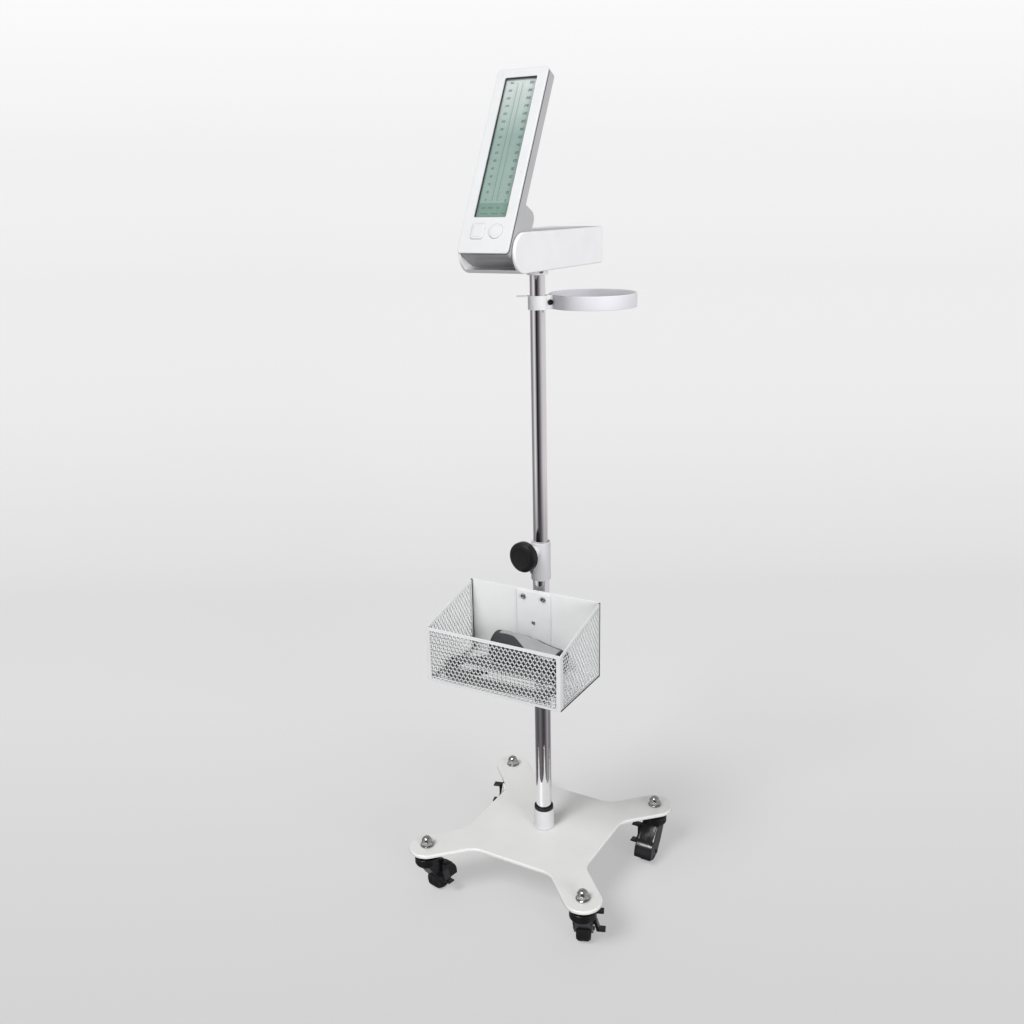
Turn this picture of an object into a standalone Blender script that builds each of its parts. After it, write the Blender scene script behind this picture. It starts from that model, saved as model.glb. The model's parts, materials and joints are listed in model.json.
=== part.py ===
"""Automatic blood pressure monitor on a rolling stand.

Units are metres and +Z is up. The origin is on the floor under the mast, and the
display faces -Y. Each sub-part is one object with its own material.
"""

import math

import bmesh
import bpy
import numpy as np
from mathutils import Matrix, Vector

# Clearances, cutters and facets
GAP = 0.0003
RUNNING = 0.0004
OVERRUN = 0.004
WELD = 0.00001
ROUND_STEPS = 24
SMALL_STEPS = 16
TINY_STEPS = 10

# Base plate with four round lobes
PLATE_THICK = 0.008
NUT_OFFSET = 0.176
LOBE_RADIUS = 0.037
EDGE_INSET = 0.0375
NECK_FILLET = 0.043
PLATE_ROUNDING = 0.0015
LOBE_STEPS = 8
NECK_STEPS = 3

# Telescopic tubes
LOWER_TUBE_RADIUS = 0.016
TUBE_WALL = 0.0015
TUBE_PLAY = 0.0005
TUBE_LAP = 0.282
FOOT_FLANGE_HEIGHT = 0.030
FOOT_PLUG_HEIGHT = 0.018
FOOT_CLEARANCE = 0.0002

# Socket and rubber ring at the foot of the mast
SOCKET_WALL = 0.005
SOCKET_HEIGHT = 0.041
SOCKET_WEB = 0.010
SOCKET_FLARE = 0.0025
SOCKET_FOOT_HEIGHT = 0.004
SOCKET_CHAMFER = 0.0015
RING_WALL = 0.0035
RING_HEIGHT = 0.007
RING_CHAMFER = 0.0015

# Clamp collar at the top of the lower tube
COLLAR_TOP = 0.742
COLLAR_LENGTH = 0.076
COLLAR_WALL = 0.003
COLLAR_LIP = 0.005
COLLAR_CHAMFER = 0.0015
CLAMP_DROP = 0.017
CLAMP_ANGLE = math.radians(-99)
CLAMP_BOSS_RADIUS = 0.010
CLAMP_BOSS_REACH = 0.030
COLLAR_BOLT_RISE = 0.017
COLLAR_BOLT_ANGLE = math.radians(235)
COLLAR_BOLT_RADIUS = 0.002
COLLAR_BOLT_HEAD_RADIUS = 0.0038
COLLAR_BOLT_HEAD = 0.003
BOLT_CROWN_SHARE = 0.75

# Clamp knob and its stud
KNOB_RADIUS = 0.0265
KNOB_THICK = 0.020
KNOB_NECK = 0.0127
KNOB_NECK_RADIUS = 0.009
KNOB_ROUNDING = 0.006
KNOB_FACE_SHARE = 0.82
STUD_RADIUS = 0.004

# Hoop high on the mast
HOOP_DROP = 0.048
HOOP_HEIGHT = 0.025
HOOP_DIRECTION = math.radians(47)
HOOP_RADIUS = 0.080
HOOP_WALL = 0.0025
HOOP_STEPS = 40
HOOP_COLLAR_WALL = 0.0035
HOOP_EAR = 0.0085
HOOP_CLAMP_WIDTH = 0.014
HOOP_SLIT = 0.002
HOOP_SCREW_SHARE = 0.42
HOOP_SCREW_RADIUS = 0.0025
HOOP_SCREW_HEAD_RADIUS = 0.0049
HOOP_SCREW_HEAD = 0.005
HOOP_SCREW_TIP = 0.002
HOOK_REACH = 0.038
HOOK_WIDTH = 0.016
HOOK_TIP_SHARE = 0.35
HOOK_THICK = 0.002
HOOK_STEP = 0.00025
HOOK_DIRECTION = math.radians(210)

# Head: sizes in its own frame, x to the right, depth behind the front, height above its lower edge
HEAD_TILT = math.radians(27.2)
HEAD_WIDTH = 0.096
HEAD_HEIGHT = 0.324
HEAD_RADIUS = 0.006
FRONT_DEPTH = 0.005
FRONT_WALL = 0.0030
FRONT_ROUNDING = 0.0022
REAR_INSET = 0.0007
REAR_DEPTH = 0.024
REAR_WALL = 0.0025
BULGE_DEPTH = 0.060
BULGE_HEIGHT = 0.095
BULGE_SIDE_INSET = 0.0015
BULGE_SHOULDER = 0.013
BULGE_BOTTOM_RADIUS = 0.006
BULGE_BOTTOM = 0.0008
PIVOT_INSET = 0.0174
PIVOT_HEIGHT = 0.0195
PIVOT_RADIUS = 0.004
PIVOT_BOSS_RADIUS = 0.0085
PIVOT_BOSS_LENGTH = 0.008
PIN_SEAT = 0.0042

# Buttons under the display
POWER_X = -0.0165
START_X = 0.0175
BUTTON_HEIGHT = 0.0375
POWER_WIDTH = 0.024
POWER_LENGTH = 0.027
POWER_CORNER = 0.005
START_RADIUS = 0.0125
BUTTON_PROUD = 0.0011
BUTTON_DEPTH = 0.0038
BUTTON_FLANGE = 0.0014
BUTTON_FLANGE_THICK = 0.0012

# Display behind its opening
WINDOW_WIDTH = 0.0605
WINDOW_RISE = 0.0107
WINDOW_MARGIN = 0.0162
WINDOW_CORNER = 0.0025
WINDOW_LAP = 0.0030
WINDOW_THICK = 0.0015
PANEL_THICK = 0.0030

# Inside the head
BOARD_THICK = 0.0016
BOARD_SIDE_GAP = 0.005
BOARD_RISE = 0.0043
BOARD_MARGIN = 0.020
PUMP_RADIUS = 0.009
PUMP_LENGTH = 0.046
PUMP_HEIGHT = 0.060
PUMP_NOSE_RADIUS = 0.004
PUMP_NOSE = 0.008
CELL_RADIUS = 0.00725
CELL_LENGTH = 0.0505
CELL_COUNT = 4
CELL_LAP = 0.0004
CELL_CLEARANCE = 0.00105
CELL_OVER_HATCH = 0.0055
HATCH_WIDTH = 0.062
HATCH_LENGTH = 0.047
HATCH_MARGIN = 0.003
HATCH_CORNER = 0.004
HATCH_RIB = 0.0029
HATCH_RIB_PITCH_SHARE = 2.5
HATCH_RIB_WIDTH_SHARE = 0.33
PORT_HEIGHT = 0.075
PORT_RADIUS = 0.0042
PORT_BORE = 0.0022
PORT_PROUD = 0.0025
PORT_INSIDE = 0.009

# Cradle that carries the head
CRADLE_BOTTOM = 1.253
CRADLE_BACK = 0.157
CRADLE_PIVOT_Y = -0.140
CRADLE_SIDE_GAP = 0.0006
CRADLE_EAR = 0.0059
CRADLE_WALL = 0.0036
CRADLE_FLOOR = 0.0065
CRADLE_CLEARANCE = 0.0034
CRADLE_HOLLOW_CORNER = 0.005
CRADLE_ROUNDING = 0.0022
CRADLE_COVER_THICK = 0.0025
CRADLE_BULKHEAD = 0.0035
RECESS_REACH = 0.070
CRADLE_BOSS_WALL = 0.005
CRADLE_BOSS_DROP = 0.012
CRADLE_CROWN = 0.019
CRADLE_SCREW_ANGLE = math.radians(-40)
CRADLE_SCREW_RADIUS = 0.0020
CRADLE_SCREW_HEAD_RADIUS = 0.0034
CRADLE_SCREW_HEAD = 0.0022
ARCH_STEPS = 12

# Basket in front of the lower tube, hung under the collar
BASKET_DROP = 0.0141
BASKET_HALF_WIDTH = 0.1405
BASKET_DEPTH = 0.1647
BASKET_FRONT_HEIGHT = 0.1086
BASKET_BACK_HEIGHT = 0.1499
BASKET_BACK_THICK = 0.0015
RIM_THICK = 0.0020
RIM_BAND = 0.0075
NET_SHARE = 0.5
STRAND = 0.0042
SLIVER = 0.0005
FRONT_CELLS = (8, 4)
SIDE_CELLS = (5, 4)
FLOOR_CELLS = (4, 3)
SMALLEST_GAP_SHARE = 0.12

# Bracket plate, saddle on the tube and their fasteners
BRACKET_DROP = 0.0039
BRACKET_HALF_WIDTH = 0.037
BRACKET_LENGTH = 0.105
BRACKET_THICK = 0.0020
BRACKET_CORNER = 0.004
BOLT_DROP = 0.011
BOLT_SPACING = 0.043
BOLT_RADIUS = 0.003
BOLT_HEAD_RADIUS = 0.0052
BOLT_HEAD = 0.0035
BOLT_TIP = 0.0030
SCREW_DROP = 0.052
SCREW_RADIUS = 0.002
SCREW_HEAD_RADIUS = 0.0036
SCREW_HEAD = 0.0022
SCREW_TIP = 0.0060
SADDLE_WALL = 0.0035
SADDLE_STAND = 0.0089
SADDLE_WEB_SHARE = 0.8
SADDLE_UNDER_BOLTS = 0.008
SADDLE_OVER_SCREW = 0.005
SADDLE_PAD_HALF_WIDTH = 0.034
SADDLE_PAD_THICK = 0.0045
SADDLE_PAD_OVER_BOLTS = 0.0055

# Casters
WHEEL_RADIUS = 0.025
WHEEL_WIDTH = 0.028
WHEEL_SHOULDER_SHARES = (0.66, 0.86)
WHEEL_RECESS_SHARES = (0.62, 0.56, 0.8)
FORK_RISE = 0.0509
CASTER_TRAIL = 0.032
CASTER_HEADINGS = {"lf": 80, "rf": 112, "rr": -90, "lr": -75}
CASTER_CORNERS = {"lf": (-1, -1), "rf": (1, -1), "rr": (1, 1), "lr": (-1, 1)}
WHEEL_STEPS = 20
WHEEL_SIDE_PLAY = 0.0009
WHEEL_TOP_PLAY = 0.0026
AXLE_RADIUS = 0.004
AXLE_PROUD = 0.0022
CAP_RADIUS = 0.0255
CAP_THICK = 0.0030
RACE_RADIUS = 0.0195
RACE_HEIGHT = 0.0095
DRUM_RADIUS = 0.0262
DRUM_HEIGHT = 0.0180
DRUM_CHAMFER = 0.0030
STEM_RADIUS = 0.0058
STEM_RISE = 0.012
LEG_THICK = 0.0042
HOOD_THICK = 0.0055
LEG_FOOT_RADIUS = 0.0095
HOOD_STEPS = 7
NECK_BACK_SHARE = 0.62
NECK_FRONT_SHARE = 0.93
WAIST_SHARES = (0.72, 0.42)
PEDAL_WIDTH = 0.016
PEDAL_DROP = 0.0239
PEDAL_PIVOT_RADIUS = 0.0015
PEDAL_ARM = 0.022
PEDAL_THICK = 0.0030
PEDAL_BOSS = 0.0030
PEDAL_UPPER_REACH = 0.014
PEDAL_LOWER_REACH = 0.014
PEDAL_SWING = math.radians(15)
PEDAL_CENTRE_SHARE = 0.75
LUG_THICK = 0.0022
LUG_HALF_HEIGHT = 0.0034

# Dome nuts on the stems
NUT_RADIUS = 0.0125
NUT_HEX_HEIGHT = 0.009
NUT_DOME_RADIUS = 0.0103
NUT_DOME_HEIGHT = 0.010
NUT_DOME_STEPS = 4
NUT_WASHER_RADIUS = 0.0138
NUT_WASHER = 0.0018
NUT_SIDES = 6

# Rolled arm cuff
CUFF_LENGTH = 0.140
CUFF_CENTRE_X = 0.0105
CUFF_BACK_GAP = 0.0106
CUFF_RADIUS = 0.0365
CUFF_THICK = 0.0055
CUFF_PITCH = 0.0064
CUFF_TURNS = 2.5
CUFF_START = math.radians(-120)
CUFF_STEPS = 24

# Air hose with its hank of loops, in the space before the cuff
HOSE_DIAMETER = 0.008
HOSE_RISE = 0.0096
HOSE_LOOPS = 2.25
HOSE_END_STEPS = 8
HOSE_RUN_STEPS = 4
HANK_X = -0.008
HANK_RUN = 0.170
HANK_BULGE = 0.0012
HANK_FRONT_GAP = 0.0111
HANK_CUFF_GAP = 0.0020
HOSE_LEAD_STEPS = 7
HOSE_TAIL_RISE = 0.0016
PLUG_RADIUS = 0.0055
PLUG_LENGTH = 0.022
PLUG_NOSE_RADIUS = 0.0030
PLUG_NOSE = 0.010
PLUG_SHOULDER_SHARE = 0.8
PLUG_FOOT_SHARE = 0.75

# Colours are (red, green, blue), roughness and metallic
WHITE_COAT = ((0.80, 0.80, 0.79), 0.40, 0.0)
WHITE_PLASTIC = ((0.86, 0.86, 0.87), 0.35, 0.0)
GREY_PLASTIC = ((0.48, 0.49, 0.50), 0.45, 0.0)
BLACK_PLASTIC = ((0.012, 0.012, 0.013), 0.38, 0.0)
BLACK_RUBBER = ((0.015, 0.015, 0.015), 0.75, 0.0)
CHROME = ((0.78, 0.78, 0.78), 0.08, 1.0)
STEEL = ((0.56, 0.56, 0.57), 0.25, 1.0)
CLEAR = ((0.90, 0.94, 0.92), 0.05, 0.0)
DISPLAY_GREEN = ((0.24, 0.42, 0.34), 0.30, 0.0)
BOARD_GREEN = ((0.02, 0.16, 0.07), 0.50, 0.0)
CUFF_CLOTH = ((0.035, 0.037, 0.042), 0.90, 0.0)
HOSE_GREY = ((0.42, 0.43, 0.44), 0.50, 0.0)

# Where local axes point once a piece is turned: up keeps them, front sends local Z to -Y
# with local Y up, and side sends local X to +Y, local Y up and local Z to +X.
UP = (0.0, 0.0, 0.0)
FRONT = (math.pi / 2, 0.0, 0.0)
SIDE = (math.pi / 2, 0.0, math.pi / 2)
ACROSS = (0.0, math.pi / 2, 0.0)
MAST_AXIS = (0.0, 0.0)

# Sizes and places that follow from those above: casters and plate
DRUM_BOTTOM = WHEEL_RADIUS + FORK_RISE
DRUM_TOP = DRUM_BOTTOM + DRUM_HEIGHT
PLATE_BOTTOM = DRUM_TOP + GAP + RACE_HEIGHT + CAP_THICK + GAP
PLATE_TOP = PLATE_BOTTOM + PLATE_THICK
EDGE_OFFSET = NUT_OFFSET - EDGE_INSET
FORK_HALF_WIDTH = WHEEL_WIDTH / 2 + WHEEL_SIDE_PLAY + LEG_THICK
PEDAL_PIVOT_HEIGHT = DRUM_BOTTOM - PEDAL_DROP

# Mast
UPPER_TUBE_RADIUS = LOWER_TUBE_RADIUS - TUBE_WALL - TUBE_PLAY
UPPER_TUBE_BOTTOM = COLLAR_TOP - TUBE_LAP
SOCKET_RADIUS = LOWER_TUBE_RADIUS + SOCKET_WALL
RING_RADIUS = LOWER_TUBE_RADIUS + RING_WALL
COLLAR_RADIUS = LOWER_TUBE_RADIUS + COLLAR_WALL
COLLAR_BOTTOM = COLLAR_TOP - COLLAR_LENGTH
CLAMP_HEIGHT = COLLAR_TOP - CLAMP_DROP
KNOB_START = CLAMP_BOSS_REACH + GAP + KNOB_NECK
HOOP_TOP = CRADLE_BOTTOM - HOOP_DROP
HOOP_COLLAR_RADIUS = UPPER_TUBE_RADIUS + HOOP_COLLAR_WALL
HOOP_REACH = HOOP_RADIUS + HOOP_COLLAR_RADIUS + HOOP_EAR
HOOP_SCREW_REACH = HOOP_COLLAR_RADIUS + HOOP_SCREW_SHARE * HOOP_EAR

# Head and cradle
PIVOT_DEPTH = BULGE_DEPTH - PIVOT_INSET
BULGE_HALF_WIDTH = HEAD_WIDTH / 2 - BULGE_SIDE_INSET
BULGE_SWEEP = BULGE_BOTTOM_RADIUS + math.hypot(
    PIVOT_INSET - BULGE_BOTTOM_RADIUS, PIVOT_HEIGHT - BULGE_BOTTOM - BULGE_BOTTOM_RADIUS
)
WINDOW_BOTTOM = BUTTON_HEIGHT + POWER_LENGTH / 2 + WINDOW_RISE
WINDOW_TOP = HEAD_HEIGHT - WINDOW_MARGIN
BOARD_HALF_WIDTH = HEAD_WIDTH / 2 - FRONT_WALL - BOARD_SIDE_GAP
HATCH_TOP = BULGE_HEIGHT - BULGE_SHOULDER - HATCH_MARGIN
BATTERY_DEPTH = BULGE_DEPTH - REAR_WALL - CELL_RADIUS - CELL_CLEARANCE
BATTERY_TOP = HATCH_TOP + CELL_OVER_HATCH
PORT_DEPTH = (FRONT_DEPTH + REAR_DEPTH) / 2
CRADLE_HALF_WIDTH = HEAD_WIDTH / 2 + CRADLE_SIDE_GAP + CRADLE_EAR
CRADLE_HEIGHT = 2 * (BULGE_SWEEP + CRADLE_FLOOR + CRADLE_CLEARANCE)
CRADLE_BOSS_RADIUS = UPPER_TUBE_RADIUS + CRADLE_BOSS_WALL
CRADLE_BORE_TOP = CRADLE_BOTTOM + CRADLE_HEIGHT - CRADLE_CROWN
PIVOT_Y = CRADLE_PIVOT_Y
PIVOT_Z = CRADLE_BOTTOM + CRADLE_HEIGHT / 2
CRADLE_FRONT = PIVOT_Y - CRADLE_HEIGHT / 2

# Basket, its fasteners, the cuff and the hose
SADDLE_RADIUS = LOWER_TUBE_RADIUS + SADDLE_WALL
BASKET_BACK = -(SADDLE_RADIUS + SADDLE_STAND)
BASKET_FRONT = BASKET_BACK - BASKET_DEPTH
BASKET_TOP = COLLAR_BOTTOM - BASKET_DROP
BASKET_BOTTOM = BASKET_TOP - BASKET_BACK_HEIGHT
BRACKET_TOP = BASKET_TOP - BRACKET_DROP
BOLT_HEIGHT = BRACKET_TOP - BOLT_DROP
SCREW_HEIGHT = BOLT_HEIGHT - SCREW_DROP
SADDLE_TOP = BOLT_HEIGHT - BOLT_RADIUS - SADDLE_UNDER_BOLTS
SADDLE_BOTTOM = SCREW_HEIGHT + SCREW_RADIUS + SADDLE_OVER_SCREW
SADDLE_PAD_TOP = BOLT_HEIGHT + BOLT_RADIUS + SADDLE_PAD_OVER_BOLTS
NET_FLOOR_TOP = BASKET_BOTTOM + GAP + RIM_THICK * (1 + NET_SHARE) / 2
CUFF_CENTRE_Y = BASKET_BACK - CUFF_BACK_GAP - CUFF_RADIUS
HANK_FRONT = BASKET_FRONT + RIM_THICK + HANK_FRONT_GAP
HANK_BACK = CUFF_CENTRE_Y - CUFF_RADIUS - HANK_CUFF_GAP
HANK_Y = (HANK_FRONT + HANK_BACK) / 2
HANK_RADIUS = (HANK_BACK - HANK_FRONT - HOSE_DIAMETER) / 2


def collection(name):
    """The collection of this name, made and linked the first time it is asked for."""
    found = bpy.data.collections.get(name)
    if found is None:
        found = bpy.data.collections.new(name)
        bpy.context.scene.collection.children.link(found)
    return found


def clear_scene():
    """Removes every object of the scene that the script starts in."""
    for obj in list(bpy.data.objects):
        bpy.data.objects.remove(obj, do_unlink=True)


def link(obj):
    """Puts a piece in the object's own collection."""
    collection("blood_pressure_monitor").objects.link(obj)
    return obj


def dress(obj, look):
    """Gives a piece its own Principled material."""
    colour, roughness, metallic = look
    material = bpy.data.materials.new(obj.name)
    material.use_nodes = True
    shader = material.node_tree.nodes["Principled BSDF"]
    shader.inputs["Base Color"].default_value = (*colour, 1.0)
    shader.inputs["Roughness"].default_value = roughness
    shader.inputs["Metallic"].default_value = metallic
    obj.data.materials.clear()
    obj.data.materials.append(material)
    return obj


def place(obj, location, rotation=UP, parent=None):
    """Sets where a piece is, in its parent's frame where it has one."""
    obj.location = location
    obj.rotation_euler = rotation
    obj.parent = parent
    return obj


def marker(name, location, rotation=UP):
    """An empty on a joint's axis, for the pieces that turn about it."""
    empty = bpy.data.objects.new(name, None)
    collection("blood_pressure_monitor").objects.link(empty)
    return place(empty, location, rotation)


def shade(mesh):
    """Shades a mesh smooth, with its corners kept sharp."""
    mesh.shade_smooth()
    mesh.set_sharp_from_angle(angle=math.radians(35))


def finished_mesh(obj):
    """The object's evaluated mesh, welded, as a new mesh."""
    bpy.context.view_layer.update()
    graph = bpy.context.evaluated_depsgraph_get()
    mesh = bpy.data.meshes.new_from_object(obj.evaluated_get(graph))
    builder = bmesh.new()
    builder.from_mesh(mesh)
    bmesh.ops.remove_doubles(builder, verts=builder.verts, dist=WELD)
    builder.to_mesh(mesh)
    builder.free()
    shade(mesh)
    return mesh


def apply_all(obj):
    """Replaces an object by one that holds its evaluated mesh and no modifiers."""
    mesh = finished_mesh(obj)
    name = obj.name
    matrix = obj.matrix_world.copy()
    bpy.data.objects.remove(obj)
    solid = link(bpy.data.objects.new(name, mesh))
    mesh.name = name
    solid.matrix_world = matrix
    return solid


def turned(name, profile, steps=ROUND_STEPS, closed=False):
    """A solid of revolution about local Z.

    profile is (radius, height) pairs whose outer side runs top to bottom. A closed
    profile is a ring's section.
    """
    count = len(profile)
    edges = [(i, i + 1) for i in range(count - 1)]
    if closed:
        edges.append((count - 1, 0))
    mesh = bpy.data.meshes.new(name)
    mesh.from_pydata([(radius, 0.0, height) for radius, height in profile], edges, [])
    obj = link(bpy.data.objects.new(name, mesh))
    screw = obj.modifiers.new("Turn", "SCREW")
    screw.axis = "Z"
    screw.angle = math.tau
    screw.steps = steps
    screw.render_steps = steps
    screw.use_merge_vertices = True
    screw.merge_threshold = WELD
    screw.use_smooth_shade = True
    return obj


def ring_section(inner, outer, bottom, top, chamfer=0.0):
    """The closed section of a tube or ring, with its outer corners chamfered where asked."""
    if not chamfer:
        return [(outer, top), (outer, bottom), (inner, bottom), (inner, top)]
    return [
        (outer - chamfer, top),
        (outer, top - chamfer),
        (outer, bottom + chamfer),
        (outer - chamfer, bottom),
        (inner, bottom),
        (inner, top),
    ]


def primitive(name, build):
    """A mesh object made by one bmesh operator."""
    mesh = bpy.data.meshes.new(name)
    builder = bmesh.new()
    build(builder)
    builder.to_mesh(mesh)
    builder.free()
    return link(bpy.data.objects.new(name, mesh))


def box(name, size):
    """A box about its own middle."""
    scale = Matrix.Diagonal((*size, 1.0))
    return primitive(name, lambda b: bmesh.ops.create_cube(b, size=1.0, matrix=scale))


def rod(name, radius, length, steps=SMALL_STEPS):
    """A cylinder about its own middle, along local Z."""
    def build(builder):
        bmesh.ops.create_cone(
            builder,
            cap_ends=True,
            segments=steps,
            radius1=radius,
            radius2=radius,
            depth=length,
        )

    return primitive(name, build)


def extruded(name, outline, thickness, holes=()):
    """A flat outline with its holes, as a solid about its own plane: local X and Y hold the outline."""
    curve = bpy.data.curves.new(name, "CURVE")
    curve.dimensions = "2D"
    curve.fill_mode = "BOTH"
    curve.extrude = thickness / 2
    for loop in (outline, *holes):
        spline = curve.splines.new("POLY")
        spline.points.add(len(loop) - 1)
        for point, (x, y) in zip(spline.points, loop):
            point.co = (x, y, 0.0, 1.0)
        spline.use_cyclic_u = True
    return apply_all(link(bpy.data.objects.new(name, curve)))


def bevel(obj, width, segments=1, angle=math.radians(40)):
    """Rounds the sharp edges of a piece."""
    rounding = obj.modifiers.new("Rounding", "BEVEL")
    rounding.width = width
    rounding.segments = segments
    rounding.limit_method = "ANGLE"
    rounding.angle_limit = angle
    rounding.harden_normals = True
    return obj


def helper(obj):
    """Hides a cutter or a joined shape, and moves it to the cutters."""
    for owner in list(obj.users_collection):
        owner.objects.unlink(obj)
    collection("cutters").objects.link(obj)
    obj.hide_render = True
    obj.display_type = "WIRE"
    return obj


def combine(obj, other, operation):
    """Adds an exact Boolean with another shape, which becomes a helper."""
    step = obj.modifiers.new(other.name, "BOOLEAN")
    step.operation = operation
    step.solver = "EXACT"
    step.object = helper(other)
    return obj


def cut(obj, *others):
    """Takes other shapes away from a piece."""
    for other in others:
        combine(obj, other, "DIFFERENCE")
    return obj


def join(obj, *others):
    """Adds other shapes to a piece."""
    for other in others:
        combine(obj, other, "UNION")
    return obj


def arc(centre, radius, start, end, steps):
    """Points of an arc, in degrees, both ends among them."""
    angles = np.radians(np.linspace(start, end, steps + 1))
    return [
        (centre[0] + radius * math.cos(a), centre[1] + radius * math.sin(a)) for a in angles
    ]


def circle(centre, radius, steps):
    """Points once round a circle."""
    return arc(centre, radius, 0, 360, steps)[:-1]


def rounded_rectangle(width, height, radius, centre=(0.0, 0.0), steps=3):
    """The outline of a rectangle with round corners, counterclockwise."""
    x = width / 2 - radius
    y = height / 2 - radius
    corners = [(x, -y, -90), (x, y, 0), (-x, y, 90), (-x, -y, 180)]
    points = []
    for corner_x, corner_y, start in corners:
        middle = (centre[0] + corner_x, centre[1] + corner_y)
        points += arc(middle, radius, start, start + 90, steps)
    return points


def turn_points(points, angle):
    """Outline points turned about the origin."""
    c = math.cos(angle)
    s = math.sin(angle)
    return [(c * x - s * y, s * x + c * y) for x, y in points]


def polar(radius, angle, height=0.0):
    """A place at this radius and angle about the mast."""
    return (radius * math.cos(angle), radius * math.sin(angle), height)


def facing(angle):
    """The rotation that sends local Z out from the mast at this angle, with local Y up."""
    return (math.pi / 2, 0.0, angle + math.pi / 2)


# Base


def plate_quarter():
    """The plate's outline from its right edge round the back right lobe to its back edge."""
    side = LOBE_RADIUS * math.sqrt(2)
    corner = EDGE_OFFSET - side
    start = corner - NECK_FILLET * math.tan(math.radians(22.5))
    first = arc((EDGE_OFFSET + NECK_FILLET, start), NECK_FILLET, 180, 135, NECK_STEPS)
    lobe = arc((NUT_OFFSET, NUT_OFFSET), LOBE_RADIUS, -45, 135, LOBE_STEPS)
    mirrored = [(y, x) for x, y in reversed(first)]
    return first + lobe + mirrored


def base_plate():
    """Powder-coated plate: four straight edges, concave necks and round lobes."""
    quarter = plate_quarter()
    outline = []
    for turn in range(4):
        outline += turn_points(quarter, turn * math.pi / 2)
    plate = extruded("base_plate", outline, PLATE_THICK)
    middle = PLATE_TOP - PLATE_THICK / 2
    place(plate, (0.0, 0.0, middle))
    bevel(plate, PLATE_ROUNDING)
    for corner, (x, y) in CASTER_CORNERS.items():
        hole = rod(f"base_plate_hole_{corner}", STEM_RADIUS + RUNNING, 2 * PLATE_THICK, TINY_STEPS + 2)
        cut(plate, place(hole, (x * NUT_OFFSET, y * NUT_OFFSET, middle)))
    dress(plate, WHITE_COAT)


def pole_socket():
    """Round socket with a closed bottom, which holds the lower tube."""
    bottom = PLATE_TOP + GAP
    top = bottom + SOCKET_HEIGHT
    bore = LOWER_TUBE_RADIUS + GAP
    floor = bottom + SOCKET_WEB
    profile = [
        (0.0, floor),
        (bore, floor),
        (bore, top),
        (SOCKET_RADIUS - SOCKET_CHAMFER, top),
        (SOCKET_RADIUS, top - SOCKET_CHAMFER),
        (SOCKET_RADIUS, bottom + SOCKET_FOOT_HEIGHT),
        (SOCKET_RADIUS + SOCKET_FLARE, bottom),
        (0.0, bottom),
    ]
    dress(turned("pole_socket", profile), WHITE_COAT)


def socket_ring():
    """Rubber ring round the tube at the socket's mouth."""
    bottom = PLATE_TOP + SOCKET_HEIGHT + 2 * GAP
    top = bottom + RING_HEIGHT
    inner = LOWER_TUBE_RADIUS + GAP
    section = [
        (RING_RADIUS - RING_CHAMFER, top),
        (RING_RADIUS, top - RING_CHAMFER),
        (RING_RADIUS, bottom),
        (inner, bottom),
        (inner, top),
    ]
    dress(turned("socket_ring", section, closed=True), BLACK_RUBBER)


def lower_tube():
    """Lower mast tube, drilled for the clamp stud near its top."""
    bottom = PLATE_TOP + SOCKET_WEB + 2 * GAP
    top = COLLAR_TOP - COLLAR_LIP - GAP
    section = ring_section(LOWER_TUBE_RADIUS - TUBE_WALL, LOWER_TUBE_RADIUS, bottom, top)
    tube = turned("lower_tube", section, closed=True)
    hole = rod("lower_tube_hole", STUD_RADIUS + RUNNING, LOWER_TUBE_RADIUS)
    place(hole, polar(LOWER_TUBE_RADIUS, CLAMP_ANGLE, CLAMP_HEIGHT), facing(CLAMP_ANGLE))
    cut(tube, hole)
    dress(tube, CHROME)


def mast_collar():
    """Clamp collar over the tube's end, with the boss that the clamp stud runs in."""
    shelf = COLLAR_TOP - COLLAR_LIP
    outside = [
        (0.0, COLLAR_TOP),
        (COLLAR_RADIUS - COLLAR_CHAMFER, COLLAR_TOP),
        (COLLAR_RADIUS, COLLAR_TOP - COLLAR_CHAMFER),
        (COLLAR_RADIUS, COLLAR_BOTTOM + COLLAR_CHAMFER),
        (COLLAR_RADIUS - COLLAR_CHAMFER, COLLAR_BOTTOM),
        (0.0, COLLAR_BOTTOM),
    ]
    collar = turned("mast_collar", outside)
    boss = rod("mast_collar_boss", CLAMP_BOSS_RADIUS, CLAMP_BOSS_REACH, SMALL_STEPS)
    place(boss, polar(CLAMP_BOSS_REACH / 2, CLAMP_ANGLE, CLAMP_HEIGHT), facing(CLAMP_ANGLE))
    bore = LOWER_TUBE_RADIUS + GAP
    bore_height = shelf - COLLAR_BOTTOM + OVERRUN
    inside = rod("mast_collar_bore", bore, bore_height, ROUND_STEPS)
    place(inside, (0.0, 0.0, shelf - bore_height / 2))
    mouth_height = COLLAR_LIP + 2 * OVERRUN
    mouth = rod("mast_collar_mouth", UPPER_TUBE_RADIUS + RUNNING, mouth_height, ROUND_STEPS)
    place(mouth, (0.0, 0.0, COLLAR_TOP + OVERRUN - mouth_height / 2))
    stud_hole = rod("mast_collar_stud_hole", STUD_RADIUS + RUNNING, CLAMP_BOSS_REACH)
    reach = CLAMP_BOSS_REACH / 2 + OVERRUN
    place(stud_hole, polar(reach, CLAMP_ANGLE, CLAMP_HEIGHT), facing(CLAMP_ANGLE))
    bolt_hole = rod("mast_collar_bolt_hole", COLLAR_BOLT_RADIUS + GAP, COLLAR_RADIUS, TINY_STEPS)
    spot = polar(COLLAR_RADIUS, COLLAR_BOLT_ANGLE, COLLAR_BOTTOM + COLLAR_BOLT_RISE)
    place(bolt_hole, spot, facing(COLLAR_BOLT_ANGLE))
    join(collar, boss)
    cut(collar, inside, mouth, stud_hole, bolt_hole)
    dress(collar, WHITE_COAT)


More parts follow.
